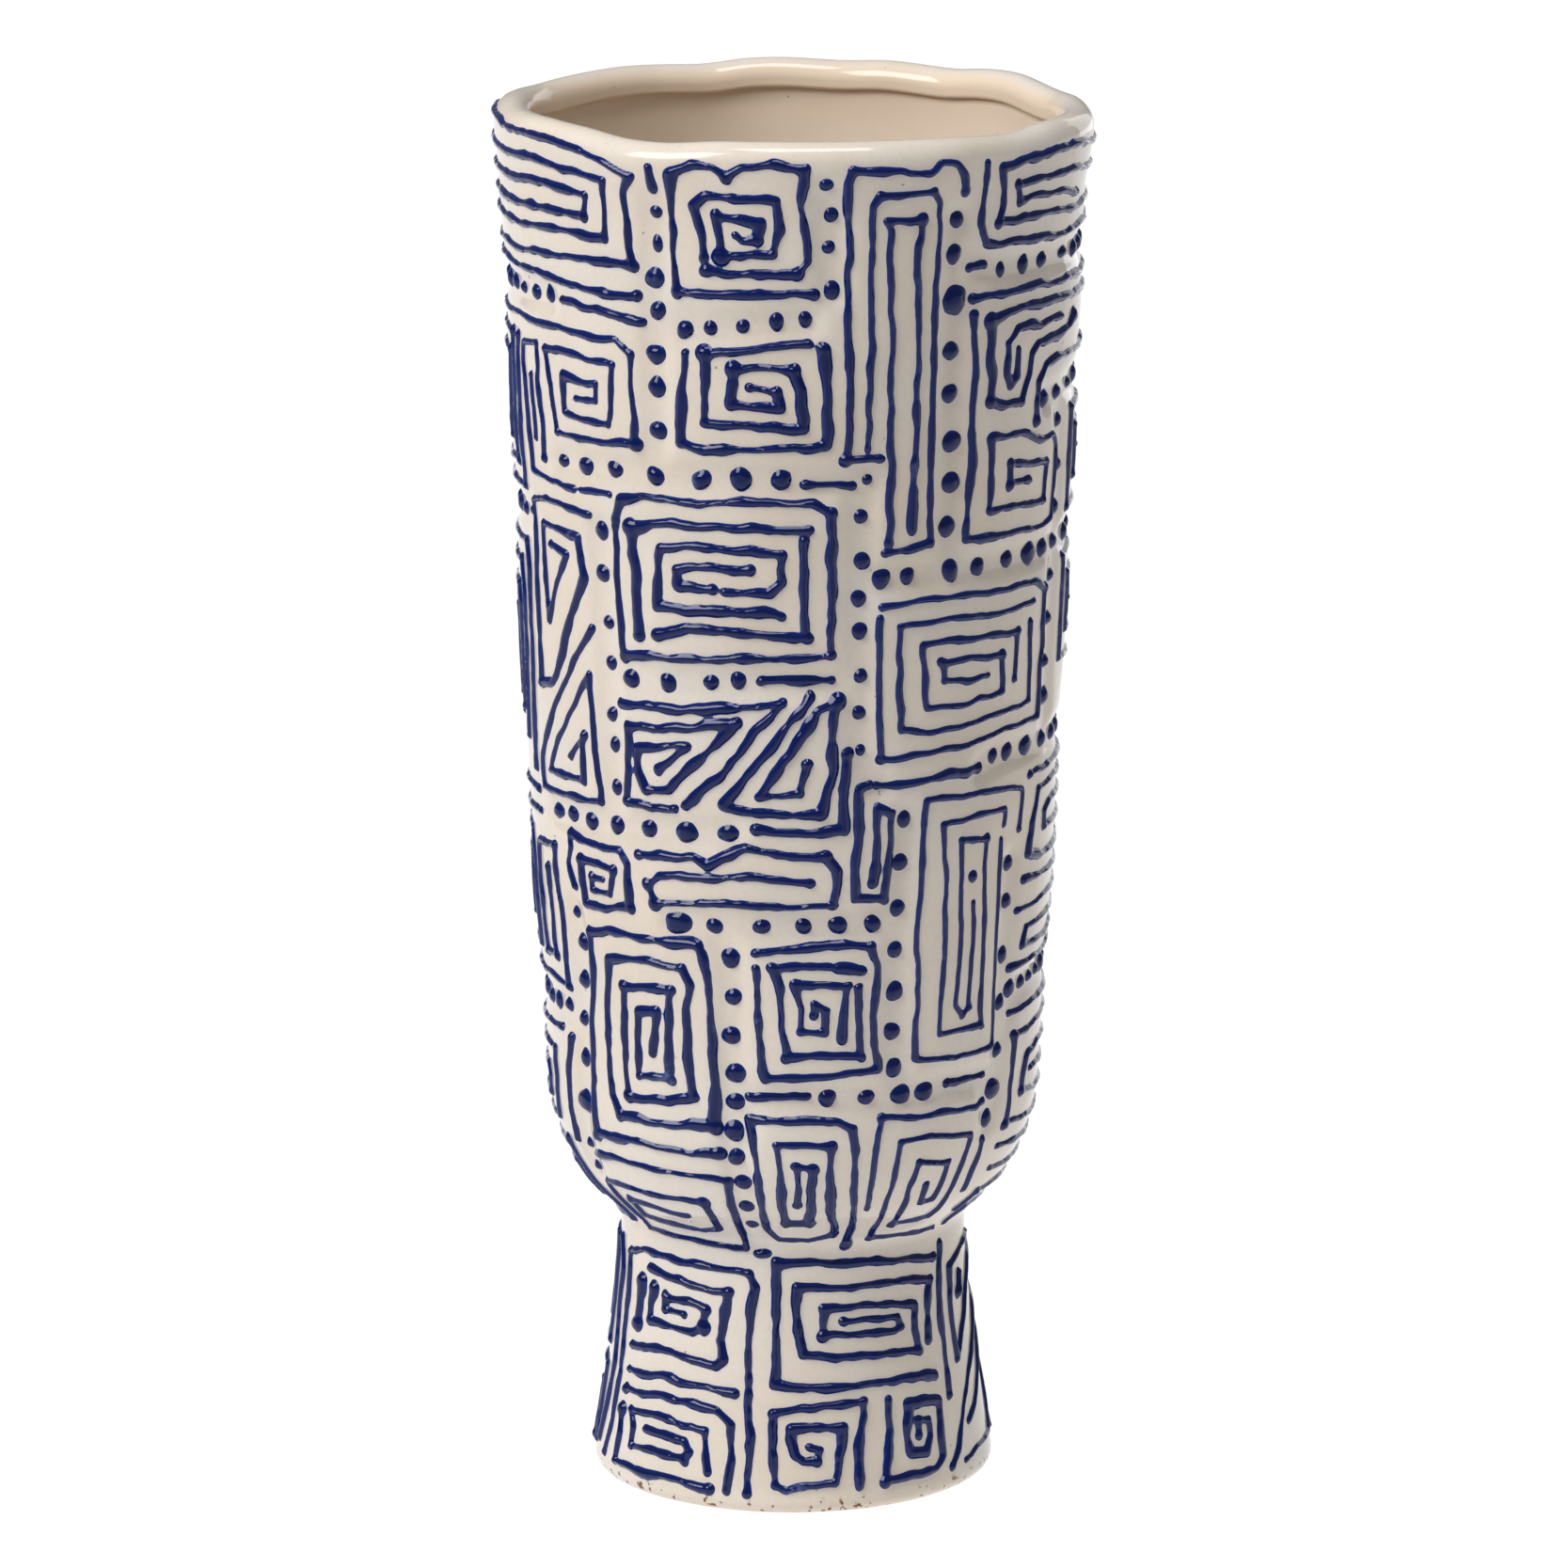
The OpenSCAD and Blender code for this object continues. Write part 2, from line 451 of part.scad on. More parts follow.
module key_stack_right() slip([
    [[104, 176.8], [74, 176.4], [62, 176.4]],
    [[104, 172], [74, 172.4, 1.2], [66.5, 171.8], [64.8, 166, 1.5], [63.5, 156.6, 1.8], [70, 155],
        [104, 156]],
    [[104, 167.2], [74, 167.4], [70, 165.6, 1.5], [71.2, 161.7], [104, 161.4]],
    [[62, 150.4], [104, 150]],
    [[60.3, 143, 1.5], [70, 144], [104, 145]],
    [[104, 139.6], [72, 139], [64, 138.5], [62.8, 134.4, 1.6], [72, 134.3], [104, 135]],
    [[58.8, 129.6, 1.5], [68, 130], [104, 130.6]],
    [[60.2, 118.2, 1.5], [70, 118.8], [104, 119.6]],
    [[104, 114.3], [74, 113.4], [62, 112.4, 1.7], [61.8, 102], [61.2, 91.2, 1.5], [72, 90.4],
        [104, 91]],
    [[104, 107.8], [76, 107.6], [68.8, 106.5, 1.8], [68.2, 97.3, 1.7], [76, 96.4], [104, 96.6]],
    [[72.4, 102, 1.5], [104, 102.2]]
]);

module key_stack_left() slip([
    [[-104, 169.8], [-73.2, 170.4, 1.5]],
    [[-104, 164.2], [-72.6, 165.3, 1.5]],
    [[-104, 125.4], [-75, 125.6], [-62, 124.7, 1.5], [-63, 140], [-64.8, 158.3, 1.6],
        [-75.4, 157.4], [-74.6, 145], [-72.2, 131.2], [-66.8, 131.2], [-68, 142],
        [-69, 152.4, 1.6]],
    [[-104, 159.6], [-82.4, 159.4], [-80.2, 150], [-79.4, 131.4], [-104, 131.2], [-104, 153],
        [-88, 153.4], [-85.4, 146], [-85.2, 137.6], [-98, 137.4], [-98, 147], [-91.4, 147]],
    [[-104, 112], [-80, 112.4], [-66.6, 113.4, 1.5]],
    [[-104, 106.6], [-85, 106.6], [-72.6, 107.2, 1.5], [-73.6, 98], [-75.8, 89.6], [-104, 89.4]],
    [[-104, 101.2], [-82, 101], [-80, 98], [-81.4, 94.6], [-104, 94.8]],
    [[-62.4, 112.4, 1.5], [-64.8, 103], [-65, 97], [-66.6, 86.4]]
]);

// ---- Keys of the bowl ----

module key_bowl_left() slip([
    [[-58.8, 84.2, 1.6], [-50, 85.4], [-35, 85], [-20, 84.8], [-16.8, 83.9, 1.6], [-17.2, 77],
        [-16, 69], [-15.8, 64, 1.5], [-25, 63.6], [-40, 64.4], [-54, 64.7], [-56, 70],
        [-58.3, 77.6, 1.4], [-48, 77.6], [-34, 77.4], [-24, 77.2, 1.5], [-22.6, 73.4, 1.6],
        [-22.6, 69.3, 1.5], [-29, 68.2], [-40, 68.8], [-51, 69.1], [-51, 73.8], [-44, 73.7],
        [-30.5, 72.7, 1.3]]
]);

module key_bowl_front() slip([
    [[17.2, 65.2, 1.8], [16.5, 73], [15, 82], [14.4, 91], [13.6, 97], [10, 99.2], [2, 100.1],
        [-5, 99.6], [-9.7, 99.3, 1.5], [-9.5, 90], [-9, 80], [-8, 70.5, 1.5], [-4, 67.4],
        [5, 67.2], [11.7, 69.1, 1.5], [10.2, 76], [9, 85], [8.6, 93, 1.5], [2, 93.9],
        [-3.8, 93.8, 1.5], [-3.4, 86], [-2.8, 79], [-1.6, 72.6], [4.8, 72.9, 1.4], [4.6, 79],
        [4.5, 87.4, 1.5], [0.7, 88, 1.4], [1, 83, 1.2], [1.2, 78.2, 1.2]]
]);

module key_bowl_right() slip([
    [[51.5, 97.9], [36, 98.4], [20.4, 98.7], [19.7, 93], [19.5, 84], [19.8, 76.4]],
    [[51, 65.4], [40, 65.6], [25.2, 66.6, 1.7], [24.9, 76], [25.2, 86], [25.8, 92.9, 1.5],
        [34, 93.3], [40, 92.2], [46.8, 91.7], [45.8, 83], [44.3, 73], [42.6, 70.8],
        [37, 70.4], [30.4, 70.5], [30.5, 79], [31.3, 87.2, 1.6], [36, 86.7], [41, 86],
        [40.2, 80], [39.3, 76.3], [35.6, 76], [35, 81.2, 1.4]],
    [[52, 89.5], [51.3, 82], [50.8, 76.5]],
    [[60, 85.8], [70, 85], [104, 84.8]],
    [[60, 80.4], [68, 79.8], [104, 79.6]],
    [[55.8, 70.2, 1.2], [60, 74.6], [70, 74.8], [104, 74.6]],
    [[57, 65.6, 1.2], [64, 69.6], [104, 69.6]]
]);

module key_bowl_far_left() slip([
    [[-104, 84.4], [-74, 84], [-70.4, 78], [-66, 72.6], [-63.5, 66.6], [-74, 65.4], [-104, 65]],
    [[-104, 78.4], [-78, 78.2], [-74.4, 73.4], [-74, 70.6], [-104, 70.6]]
]);

// ---- Keys of the foot ----

module foot_key_left() slip([
    [[-72.3, 5.6], [-70, 14], [-68.5, 26], [-69.3, 36], [-68.3, 46], [-69, 56.2, 1.5],
        [-60, 57.8], [-45, 58.2], [-25, 58], [-14.6, 57.3], [-12.8, 54.3, 1.6], [-14, 48],
        [-14.8, 42], [-14.2, 30], [-13.6, 18], [-13.3, 5.2, 1.5]],
    [[-59.8, 50.3, 2.6], [-60, 45, 1.7], [-60.8, 39.6, 1.9]],
    [[-52.4, 49.6, 1.7], [-53.8, 45.5], [-54, 41.7, 1.6], [-47, 41.6], [-35, 41.8],
        [-30.6, 43.2, 1.5], [-29.8, 47.4, 1.6], [-36, 49.1], [-46.2, 48.8], [-46.2, 45.5, 1.3],
        [-38, 45.4, 1.2]],
    [[-62.8, 34, 1.4], [-50, 35], [-42, 35.6], [-25.5, 34.4], [-23, 36, 1.6], [-24.3, 40.5, 1.7],
        [-22.4, 49, 1.6], [-21.7, 52.5, 1.5], [-27, 52.5], [-40, 53.6], [-55.2, 53.9, 1.3]],
    [[-79.5, 7.5], [-76.3, 17], [-74.4, 28], [-76.2, 42], [-75, 51], [-79, 57.6]]
]);

module foot_key_low_left() slip([
    [[-62.8, 28, 1.3], [-45, 29.2], [-30, 29], [-18.6, 28, 1.5]],
    [[-62.8, 23.4, 1.4], [-48, 24.2], [-35, 24.6], [-24, 23.7], [-19.3, 21, 1.5], [-19.2, 13],
        [-19.6, 5.2, 1.5]],
    [[-63.5, 18.4, 2], [-63.8, 11, 1.5], [-63.8, 5.4, 1.5], [-50, 5.2], [-36, 5.6],
        [-25.3, 5, 1.6]],
    [[-26, 9, 1.4], [-27, 13.5, 1.5], [-27.4, 18.5], [-40, 19.5], [-58.4, 19.2, 1.5],
        [-56.4, 15, 1.6], [-56.5, 10.4, 1.4], [-45, 10.9], [-34, 10.8], [-32.4, 13],
        [-34.5, 15.3], [-50, 15.4]]
]);

module foot_key_front() slip([
    [[53.3, 57.2], [36, 58.6], [24, 59.8], [8, 60.4], [-5.8, 59.9, 1.6], [-5.2, 46, 1.5],
        [-5.8, 30.4, 1.5], [10, 29.6], [34, 29.7], [50, 28.8, 1.5]],
    [[48.6, 37.9, 1.6], [49.6, 45, 1.5], [51, 52, 1.6], [36, 53.4], [14, 54.3], [1.3, 54.4, 1.7],
        [1.6, 44, 1.5], [3, 37.7], [14, 36.8], [34, 36.3], [43.8, 35.5, 1.5], [42.2, 41, 1.6],
        [43.3, 47.2, 1.5], [34, 48.7], [20, 49.1], [9.9, 48.7, 1.6], [10.2, 42.4], [24, 42.2],
        [34, 42], [36.6, 42.8, 1.2], [35.6, 45.5, 1.1], [24, 45.6, 1.1], [17, 45.5, 1.3]]
]);

module foot_key_low_front() slip([
    [[19.6, 6, 1.5], [20, 15], [21.8, 22.5, 1.5], [21.8, 25.6], [14, 25.6], [2, 24.9],
        [-6.1, 23.7, 1.6], [-6, 15, 1.6], [-5.3, 7.4, 1.5], [-2, 5.9], [4, 7.2], [12.3, 7.5],
        [14.3, 12, 1.5], [15.3, 20.1, 1.5], [8, 20.4], [-0.7, 20, 1.6], [0.5, 14, 1.5],
        [3, 12.5], [7.2, 12.6], [8.2, 15.2, 1.2], [5.2, 16, 1.2]]
]);

module foot_key_low_right() slip([
    [[30.6, 25.6, 1.4], [30.2, 18], [28.6, 10], [27.9, 6.6], [36, 6.6], [47, 7.2],
        [49.8, 10, 1.5], [50, 17, 1.5], [50.8, 22.8, 1.5], [44, 24.2], [37.4, 24, 1.5],
        [36.6, 17, 1.5], [37.4, 12.2, 1.5], [44, 11.9], [45.7, 15.5], [44.7, 19.4],
        [41, 19.6, 1.2], [41, 16, 1.2]]
]);

module foot_slant_right() slip([
    [[56.8, 60, 1.4], [56, 50, 1.6], [55.9, 42, 1.6], [56.4, 32, 1.6], [56.6, 23, 1.7]],
    [[104, 56], [85, 51], [77, 45.4], [70, 37], [63.4, 30.2, 1.7], [62.6, 42, 1.5],
        [63, 53.4, 1.6], [72, 55.6], [86, 57.8]],
    [[69.2, 45.6, 1.9], [70.6, 50.2, 1.6]],
    [[104, 44], [85, 36], [78, 31], [71, 26], [63, 17.5], [57.5, 9.6, 1.5], [53.8, 6.2, 1.5]],
    [[104, 37], [86, 27], [78, 21.4], [72, 17.2], [66, 14.6]],
    [[61, 6.2], [68, 7.2], [84, 8.2], [90, 14], [96, 21], [104, 30]],
    [[92, 7.6], [97, 13], [104, 21]]
]);

module foot_key_far_left() slip([
    coil(-85, 57, -109, 31, 6),
    coil(-84, 6, -108, 25, 5)
]);

// ---- Keys round the back ----

module key_lip_back() slip([
    coil(112, 298, 142, 326, 11),
    coil(178, 326, 148, 298, 11),
    each nest(186, 298, 210, 326, 3),
    coil(216, 298, 246, 326, 11)
]);

module key_neck_back() slip([
    coil(112, 237, 135, 284, 9),
    coil(143, 262, 175, 285, 8),
    coil(175, 256, 143, 237, 7),
    coil(183, 285, 213, 262, 8),
    coil(213, 237, 183, 256, 7),
    coil(246, 284, 221, 237, 11)
]);

module key_wide_back() slip([
    coil(112, 190, 157, 224, 11),
    coil(246, 224, 205, 190, 11)
]);

module triangle_back() slip([
    [[165, 222], [165, 190], [192, 190], [169.6, 211], [169.6, 195.4], [179, 195.2], [173.6, 200.4]],
    [[197, 193.6], [197, 223.6], [170, 223.6], [192.4, 202], [192.4, 218.4], [183, 218.4],
        [188.4, 213]]
]);

module key_tall_back() slip([
    coil(112, 112, 132.6, 180, 8),
    coil(141.4, 150, 170.6, 180, 10),
    coil(170.6, 112, 141.4, 143, 10),
    each nest(179.4, 112, 188.6, 180, 2),
    coil(197.4, 180, 218.6, 112, 8),
    coil(246, 112, 227.4, 180, 7)
]);

module key_bowl_back() slip([
    coil(112, 65, 142, 99, 7),
    coil(178, 99, 148, 65, 7),
    coil(184, 65, 214, 99, 7),
    coil(250, 99, 220, 65, 7)
]);

module foot_key_back() slip([
    coil(110, 30, 142, 57, 7),
    coil(180, 57, 148, 30, 7),
    coil(186, 30, 218, 57, 7),
    coil(246, 57, 224, 30, 5)
]);

module foot_key_low_back() slip([
    coil(110, 6, 142, 25, 6),
    coil(180, 25, 148, 6, 6),
    coil(186, 6, 218, 25, 6),
    coil(246, 25, 224, 6, 5)
]);

// ---- Dashes and dots between the keys ----

module dashes() slip([
    [[-28.4, 326, 1.4], [-27.6, 320.8, 1.6]],
    [[37.2, 300.6, 1.6], [41, 300.8, 1.4]],
    [[2.5, 252.6, 1.7], [12, 252]],
    [[-6.8, 205.7, 1.6], [8, 205.5]],
    [[18.3, 180.3], [30, 180.7], [40, 181.4], [44.5, 181, 1.5]],
    [[-10.2, 105.3, 1.4], [-4, 105], [3, 105.2, 1.5]],
    [[38.8, 105.2, 1.5], [51, 105]]
]);

module dots_upper_columns() slip([], [
    [-27.4, 315, 1.4, 1.2], [-27.5, 307.5, 1.4, 1.9], [-28, 299.4, 2.4, 2.1], [-27.6, 291.9, 2.3],
    [-28.2, 282, 2.3, 2.3], [-28.3, 274, 2.3, 2.1], [-28.1, 263.7, 2.1, 2],
    [6.3, 322, 1.4, 1.3], [7.2, 315, 1.4], [6.7, 307.8, 1.4], [7.5, 298.2, 1.7, 1.8],
    [33.4, 312.6, 2, 2.1], [33, 304.6, 1.9, 2], [33.7, 293.4, 2.8, 2.9], [33.2, 281.7, 2.2],
    [33.1, 272.2, 2.1], [33.6, 260.9, 2.1], [33.8, 250.8, 2], [33.3, 240.5, 2.2]
]);

module dots_middle_columns() slip([], [
    [-43.4, 238, 2, 2.1], [-43.4, 228, 2.3, 2.1], [-42.7, 216.4, 1.9, 1.8], [-42.5, 207, 1.9],
    [-42.7, 194.3, 2], [-42.2, 187, 1.8, 2.1], [-42.2, 177, 1.8, 1.9],
    [15, 253.3, 1.5, 1.5], [13.8, 244.6, 1.7, 1.8], [14.2, 234, 1.7], [13.5, 225, 1.7, 1.9],
    [14, 217, 1.9, 2.1], [14.2, 206.4, 1.8, 1.9], [14, 198, 1.8], [14.5, 188.8, 1.6],
    [70.5, 259.4, 1.9, 1.9], [72, 248.8, 2.2, 1.9], [71.4, 238.8, 2], [70.4, 222.6, 1.8],
    [70.2, 212, 2], [69.6, 201.8, 2], [70.4, 193.2, 2.2]
]);

module dots_lower_columns() slip([], [
    [-58.2, 143.6, 1.7, 1.5], [-56.4, 136.7, 2, 2.1], [-56.8, 127.5, 2.1, 2.1],
    [-57.7, 117.6, 1.9, 1.9], [-58, 108, 1.8, 2], [-59.2, 97, 2.6, 2.4], [-61.4, 86.3, 1.5, 1.5],
    [-62.2, 80.4, 1.5, 1.4], [-14.1, 138.5, 2.1, 2.1], [-13.6, 129.6, 1.9, 1.8],
    [-14.3, 120, 2.2, 2.2], [-13.9, 111, 2.2, 2.2], [-13.8, 103.8, 1.8, 1.6],
    [-14, 96.4, 2, 2], [-13.8, 90, 2, 1.9], [-13, 83.8, 1.9, 1.9], [-12.8, 77, 1.6, 1.4],
    [-12, 71.8, 1.5, 1.2], [-10.8, 62.5, 2.3, 1.3],
    [24.7, 171.6, 1.7, 2], [24, 161.2, 1.6, 1.7], [23.8, 150.5, 1.8, 2], [23.2, 140.4, 1.8, 2.1],
    [23.3, 129.8, 2, 2.1], [23.2, 120, 2, 2.2], [23.8, 111.4, 1.7, 2],
    [56.6, 155.8, 1.8, 2], [56.3, 146.5, 1.8, 1.8], [55.9, 133.5, 1.7, 1.9],
    [55.9, 121.8, 1.7, 2], [56.2, 110.4, 1.7, 1.9], [55.4, 101, 2.3, 2.3], [53.6, 94, 1.7, 1.9]
]);

module dots_upper_rows() slip([], concat([
    [-57.3, 291.3, 1.8, 2], [-63.3, 291.2, 1.9, 1.7], [-70, 291, 1.9, 1.8], [-76, 291.2, 1.8],
    [-22, 287.9, 2, 2.2], [-16.7, 288.5, 1.6, 1.8], [-10.1, 289.3, 1.5, 1.6],
    [-3.4, 290.3, 1.6, 1.9], [2.6, 290.8, 1.5, 1.9],
    [-55, 252.8, 2.3, 1.8], [-47.5, 253, 2.3, 2], [-38.9, 253.1, 2.5, 2], [-29.3, 253.1, 2.3, 2.2],
    [-19.1, 253, 2.2, 2.1], [-10.9, 253.6, 2.4, 2.4], [-2.6, 253.8, 2.3, 2.5],
    [45.3, 299.3, 1.6, 1.9], [52.3, 299.7, 2, 1.8], [59, 299.7, 2.1, 1.8], [68.3, 299.6, 2.6, 1.7],
    [62.5, 266.3, 2, 2], [68.7, 266.6, 2, 1.9], [77.5, 267.2, 2, 1.6]
], row(291, -104, -83, 4), row(299.2, 76, 104, 5), row(267.4, 86, 104, 3)));

module dots_middle_rows() slip([], concat([
    [18.5, 229.6, 1.8, 2], [24.2, 229.6, 1.8, 2], [34.5, 229.8, 2.5, 2.7], [42, 229.9, 2.1, 2.3],
    [51.2, 230, 2.1, 2], [59.2, 230, 2.5, 2.3], [65, 230, 2.2, 2.3], [71.2, 230.6, 1.9],
    [-36.8, 203.6, 2.1, 2], [-27.8, 204.2, 2.1, 2.1], [-17.8, 204.8, 2.1, 1.9],
    [-11.6, 205.3, 1.9, 2], [49, 183.4, 1.7, 1.9], [53.9, 183.3, 1.7, 1.9],
    [61.2, 183.1, 2.3, 2], [70.2, 183, 2.4, 1.9], [79, 182.6, 2.3, 1.8],
    [-64.2, 166.7, 2.5, 1.9], [-57.8, 167.2, 1.8, 1.6], [-50.8, 166.9, 2.1, 2],
    [-42.5, 167.6, 2.2, 2.2], [-33.3, 168.2, 2.1, 2.1], [-23.8, 168.4, 2.3, 2.1],
    [-14.2, 169, 2.2, 1.9], [-77, 237.2, 1.8, 1.5], [-70.4, 238, 1.7, 1.5]
], row(182.4, 86, 104, 3), row(237.2, -104, -84, 4)));

module dots_lower_rows() slip([], concat([
    [-26.6, 146.8, 2.8, 2.3], [-17.8, 146.4, 2, 1.8], [-7.2, 146.7, 2, 1.9], [2.2, 147, 2, 1.8],
    [9.8, 147, 2, 1.8], [17.8, 147, 2.1, 2], [60, 124.3, 1.9, 1.7], [65.6, 124.8, 1.7, 1.7],
    [70.6, 125, 1.7, 1.7], [77, 125.4, 1.8, 1.7], [7.7, 104.8, 2.1, 2.1],
    [17, 104.6, 2, 1.9], [25.7, 104.1, 2.1, 2.1], [32.2, 104.3, 2.2, 2.1],
    [-78, 118.8, 2, 1.9], [-71, 119, 2, 1.9], [-64.8, 119.4, 1.9, 1.8]
], row(125.4, 84, 104, 4), row(118.8, -104, -85, 4)));

module dots_back() slip([], concat(
    column(108, 298, 326, 4), column(249.5, 300, 324, 4), row(291, 110, 248, 15),
    column(139, 240, 281, 6), column(179, 242, 282, 6), column(217, 240, 281, 6),
    row(230.5, 82, 246, 17), column(108, 238, 282, 6), column(161, 192, 222, 4),
    column(201, 192, 222, 4), row(185, 112, 246, 14),
    column(137, 116, 176, 7), column(175, 116, 176, 7), column(193, 116, 176, 7),
    column(223, 116, 176, 7), row(105.5, 110, 250, 14)
));

foot();
bowl();
floor();
wall();
lip_band();
key_lip_left();
key_lip_front();
key_tall_front();
key_lip_right();
key_neck_left();
key_neck_front();
key_narrow_left();
key_neck_right();
key_side_right();
key_far_left();
key_far_right();
key_wide_front();
key_wide_right();
triangle_upper_left();
triangle_lower_left();
slant_front();
triangle_front();
key_long_front();
key_narrow_front();
key_small_left();
key_tall_left();
key_square_front();
key_tall_right();
key_stack_right();
key_stack_left();
key_bowl_left();
key_bowl_front();
key_bowl_right();
key_bowl_far_left();
foot_key_left();
foot_key_low_left();
foot_key_front();
foot_key_low_front();
foot_key_low_right();
foot_slant_right();
foot_key_far_left();
key_lip_back();
key_neck_back();
key_wide_back();
triangle_back();
key_tall_back();
key_bowl_back();
foot_key_back();
foot_key_low_back();
dashes();
dots_upper_columns();
dots_middle_columns();
dots_lower_columns();
dots_upper_rows();
dots_middle_rows();
dots_lower_rows();
dots_back();
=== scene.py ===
from math import radians

import bpy
import numpy as np
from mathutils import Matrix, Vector


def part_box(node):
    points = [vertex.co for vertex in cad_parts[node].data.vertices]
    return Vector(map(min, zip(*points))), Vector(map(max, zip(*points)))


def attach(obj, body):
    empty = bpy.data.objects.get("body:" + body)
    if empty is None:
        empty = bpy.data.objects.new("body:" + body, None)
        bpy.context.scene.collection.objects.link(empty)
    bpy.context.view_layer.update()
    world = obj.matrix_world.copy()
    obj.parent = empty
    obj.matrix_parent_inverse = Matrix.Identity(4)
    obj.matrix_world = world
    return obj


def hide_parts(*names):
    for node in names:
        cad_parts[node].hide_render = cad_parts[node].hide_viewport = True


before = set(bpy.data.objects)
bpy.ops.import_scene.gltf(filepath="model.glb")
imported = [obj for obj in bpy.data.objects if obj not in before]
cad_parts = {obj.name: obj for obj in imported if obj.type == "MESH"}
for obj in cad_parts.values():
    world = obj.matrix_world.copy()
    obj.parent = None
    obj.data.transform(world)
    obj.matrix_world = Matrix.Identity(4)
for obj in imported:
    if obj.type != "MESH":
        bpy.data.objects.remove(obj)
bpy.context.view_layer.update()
print("frame loaded:", len(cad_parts), "parts")

# All shape work is in millimetres. Angles go round the vase from -Y, the front, towards +X.
perMm = 0.001
clayNodes = ["foot", "bowl", "floor", "wall", "lip_band"]
slipNodes = [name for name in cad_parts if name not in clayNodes]

reading = {
    "tableStep": 0.1,
    "outerBlur": 0.9,  # spread of the blur that rounds the outline's straight stretches
    "innerBlur": 1.5,
    "facing": 0.15,  # least share of a face's normal that lies along the radius
    "slopeReach": 0.4,
    "dotVertices": 17,  # vertices of one dot
    "ridgeLift": 0.3,  # the top edge of a line stands higher over the clay than this
    "halfWidths": (0.45, 3.2),  # least and greatest half width of a line
    "sharpTurn": 0.7,  # the squared sum of the directions away from a vertex, above which it is a corner
}


def partMesh(name):
    # Vertices of a frame part in millimetres, those at one place joined, and its triangles
    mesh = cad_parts[name].data
    mesh.calc_loop_triangles()
    points = np.empty(len(mesh.vertices) * 3)
    corners = np.empty(len(mesh.loop_triangles) * 3, np.int32)
    mesh.vertices.foreach_get("co", points)
    mesh.loop_triangles.foreach_get("vertices", corners)
    points = points.reshape(-1, 3) / perMm
    _, first, joined = np.unique(np.round(points, 2), axis=0, return_index=True, return_inverse=True)
    return points[first], joined.ravel()[corners].reshape(-1, 3)


def profileOf(names, side):
    # Radius against height: the mean distance from the axis of the vertices at each height, taken
    # from the faces that look away from the axis (side 1) or at it (side -1)
    heights, radii = [], []
    for name in names:
        points, faces = partMesh(name)
        a, b, c = (points[faces[:, i]] for i in range(3))
        normal, middle = np.cross(b - a, c - a), (a + b + c)[:, :2]
        size = np.linalg.norm(normal, axis=1) * np.linalg.norm(middle, axis=1)
        facing = side * (normal[:, :2] * middle).sum(1) > reading["facing"] * size
        used = points[np.unique(faces[facing])]
        heights.append(used[:, 2])
        radii.append(np.hypot(used[:, 0], used[:, 1]))
    heights, radii = np.round(np.concatenate(heights), 2), np.concatenate(radii)
    levels, place = np.unique(heights, return_inverse=True)
    radius = np.bincount(place.ravel(), radii) / np.bincount(place.ravel())
    return levels, radius


def smoothed(levels, radius, spread):
    # Table of the profile at even heights, each the mean of its neighbours weighted by a bell curve
    # of that spread; past its ends the profile is carried on turned about its end point
    step = reading["tableStep"]
    z = np.arange(levels[0], levels[-1] + step, step)
    reach = int(4 * spread / step)
    bell = np.exp(-0.5 * (np.arange(-reach, reach + 1) * step / spread) ** 2)
    r = np.interp(z, levels, radius)
    wide = np.concatenate([2 * r[0] - r[reach:0:-1], r, 2 * r[-1] - r[-2:-reach - 2:-1]])
    return z, np.convolve(wide, bell / bell.sum(), "valid")


outerTable = smoothed(*profileOf(["foot", "bowl", "wall", "lip_band"], 1), reading["outerBlur"])
innerTable = smoothed(*profileOf(["bowl", "wall"], -1), reading["innerBlur"])
hollowTable = smoothed(*profileOf(["foot"], -1), reading["innerBlur"])
arcTable = np.concatenate([[0], np.cumsum(np.hypot(np.diff(outerTable[0]), np.diff(outerTable[1])))])


def outerRadius(z):
    # Outer radius at a height, straight between the table's rows
    return np.interp(z, *outerTable)


def outerSlope(z):
    # Change of the outer radius over the change of height, across a short stretch
    reach = reading["slopeReach"]
    return (outerRadius(z + reach) - outerRadius(z - reach)) / (2 * reach)


def arcLength(z):
    # Distance along the outline from the foot ring up to a height
    return np.interp(z, outerTable[0], arcTable)


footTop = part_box("foot")[1].z / perMm
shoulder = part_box("bowl")[1].z / perMm
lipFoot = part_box("wall")[1].z / perMm
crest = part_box("lip_band")[1].z / perMm
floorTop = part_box("floor")[1].z / perMm


def linked(count, edges):
    # Number of the group that each vertex belongs to: every vertex takes the least number among
    # its neighbours until nothing changes
    group = np.arange(count)
    while True:
        low = np.minimum(group[edges[:, 0]], group[edges[:, 1]])
        new = group.copy()
        np.minimum.at(new, edges[:, 0], low)
        np.minimum.at(new, edges[:, 1], low)
        new = new[new]
        if (new == group).all():
            return group
        group = new


def dotsOf(points, lift, group, dotGroups):
    # Rows of angle, height, half width and half height. The top is the point that stands highest,
    # and the halves are the greatest distances from it along the ring and up the outline
    dots = []
    for g in dotGroups:
        own = points[group == g]
        top = own[np.argmax(lift[group == g])]
        a = np.arctan2(top[0], -top[1])
        side = np.array([np.cos(a), np.sin(a), 0])
        k = outerSlope(top[2])
        rise = np.array([k * np.sin(a), -k * np.cos(a), 1]) / np.sqrt(1 + k * k)
        away = own - top
        dots.append([np.degrees(a), top[2], np.abs(away @ side).max(), np.abs(away @ rise).max()])
    return np.array(dots).reshape(-1, 4)


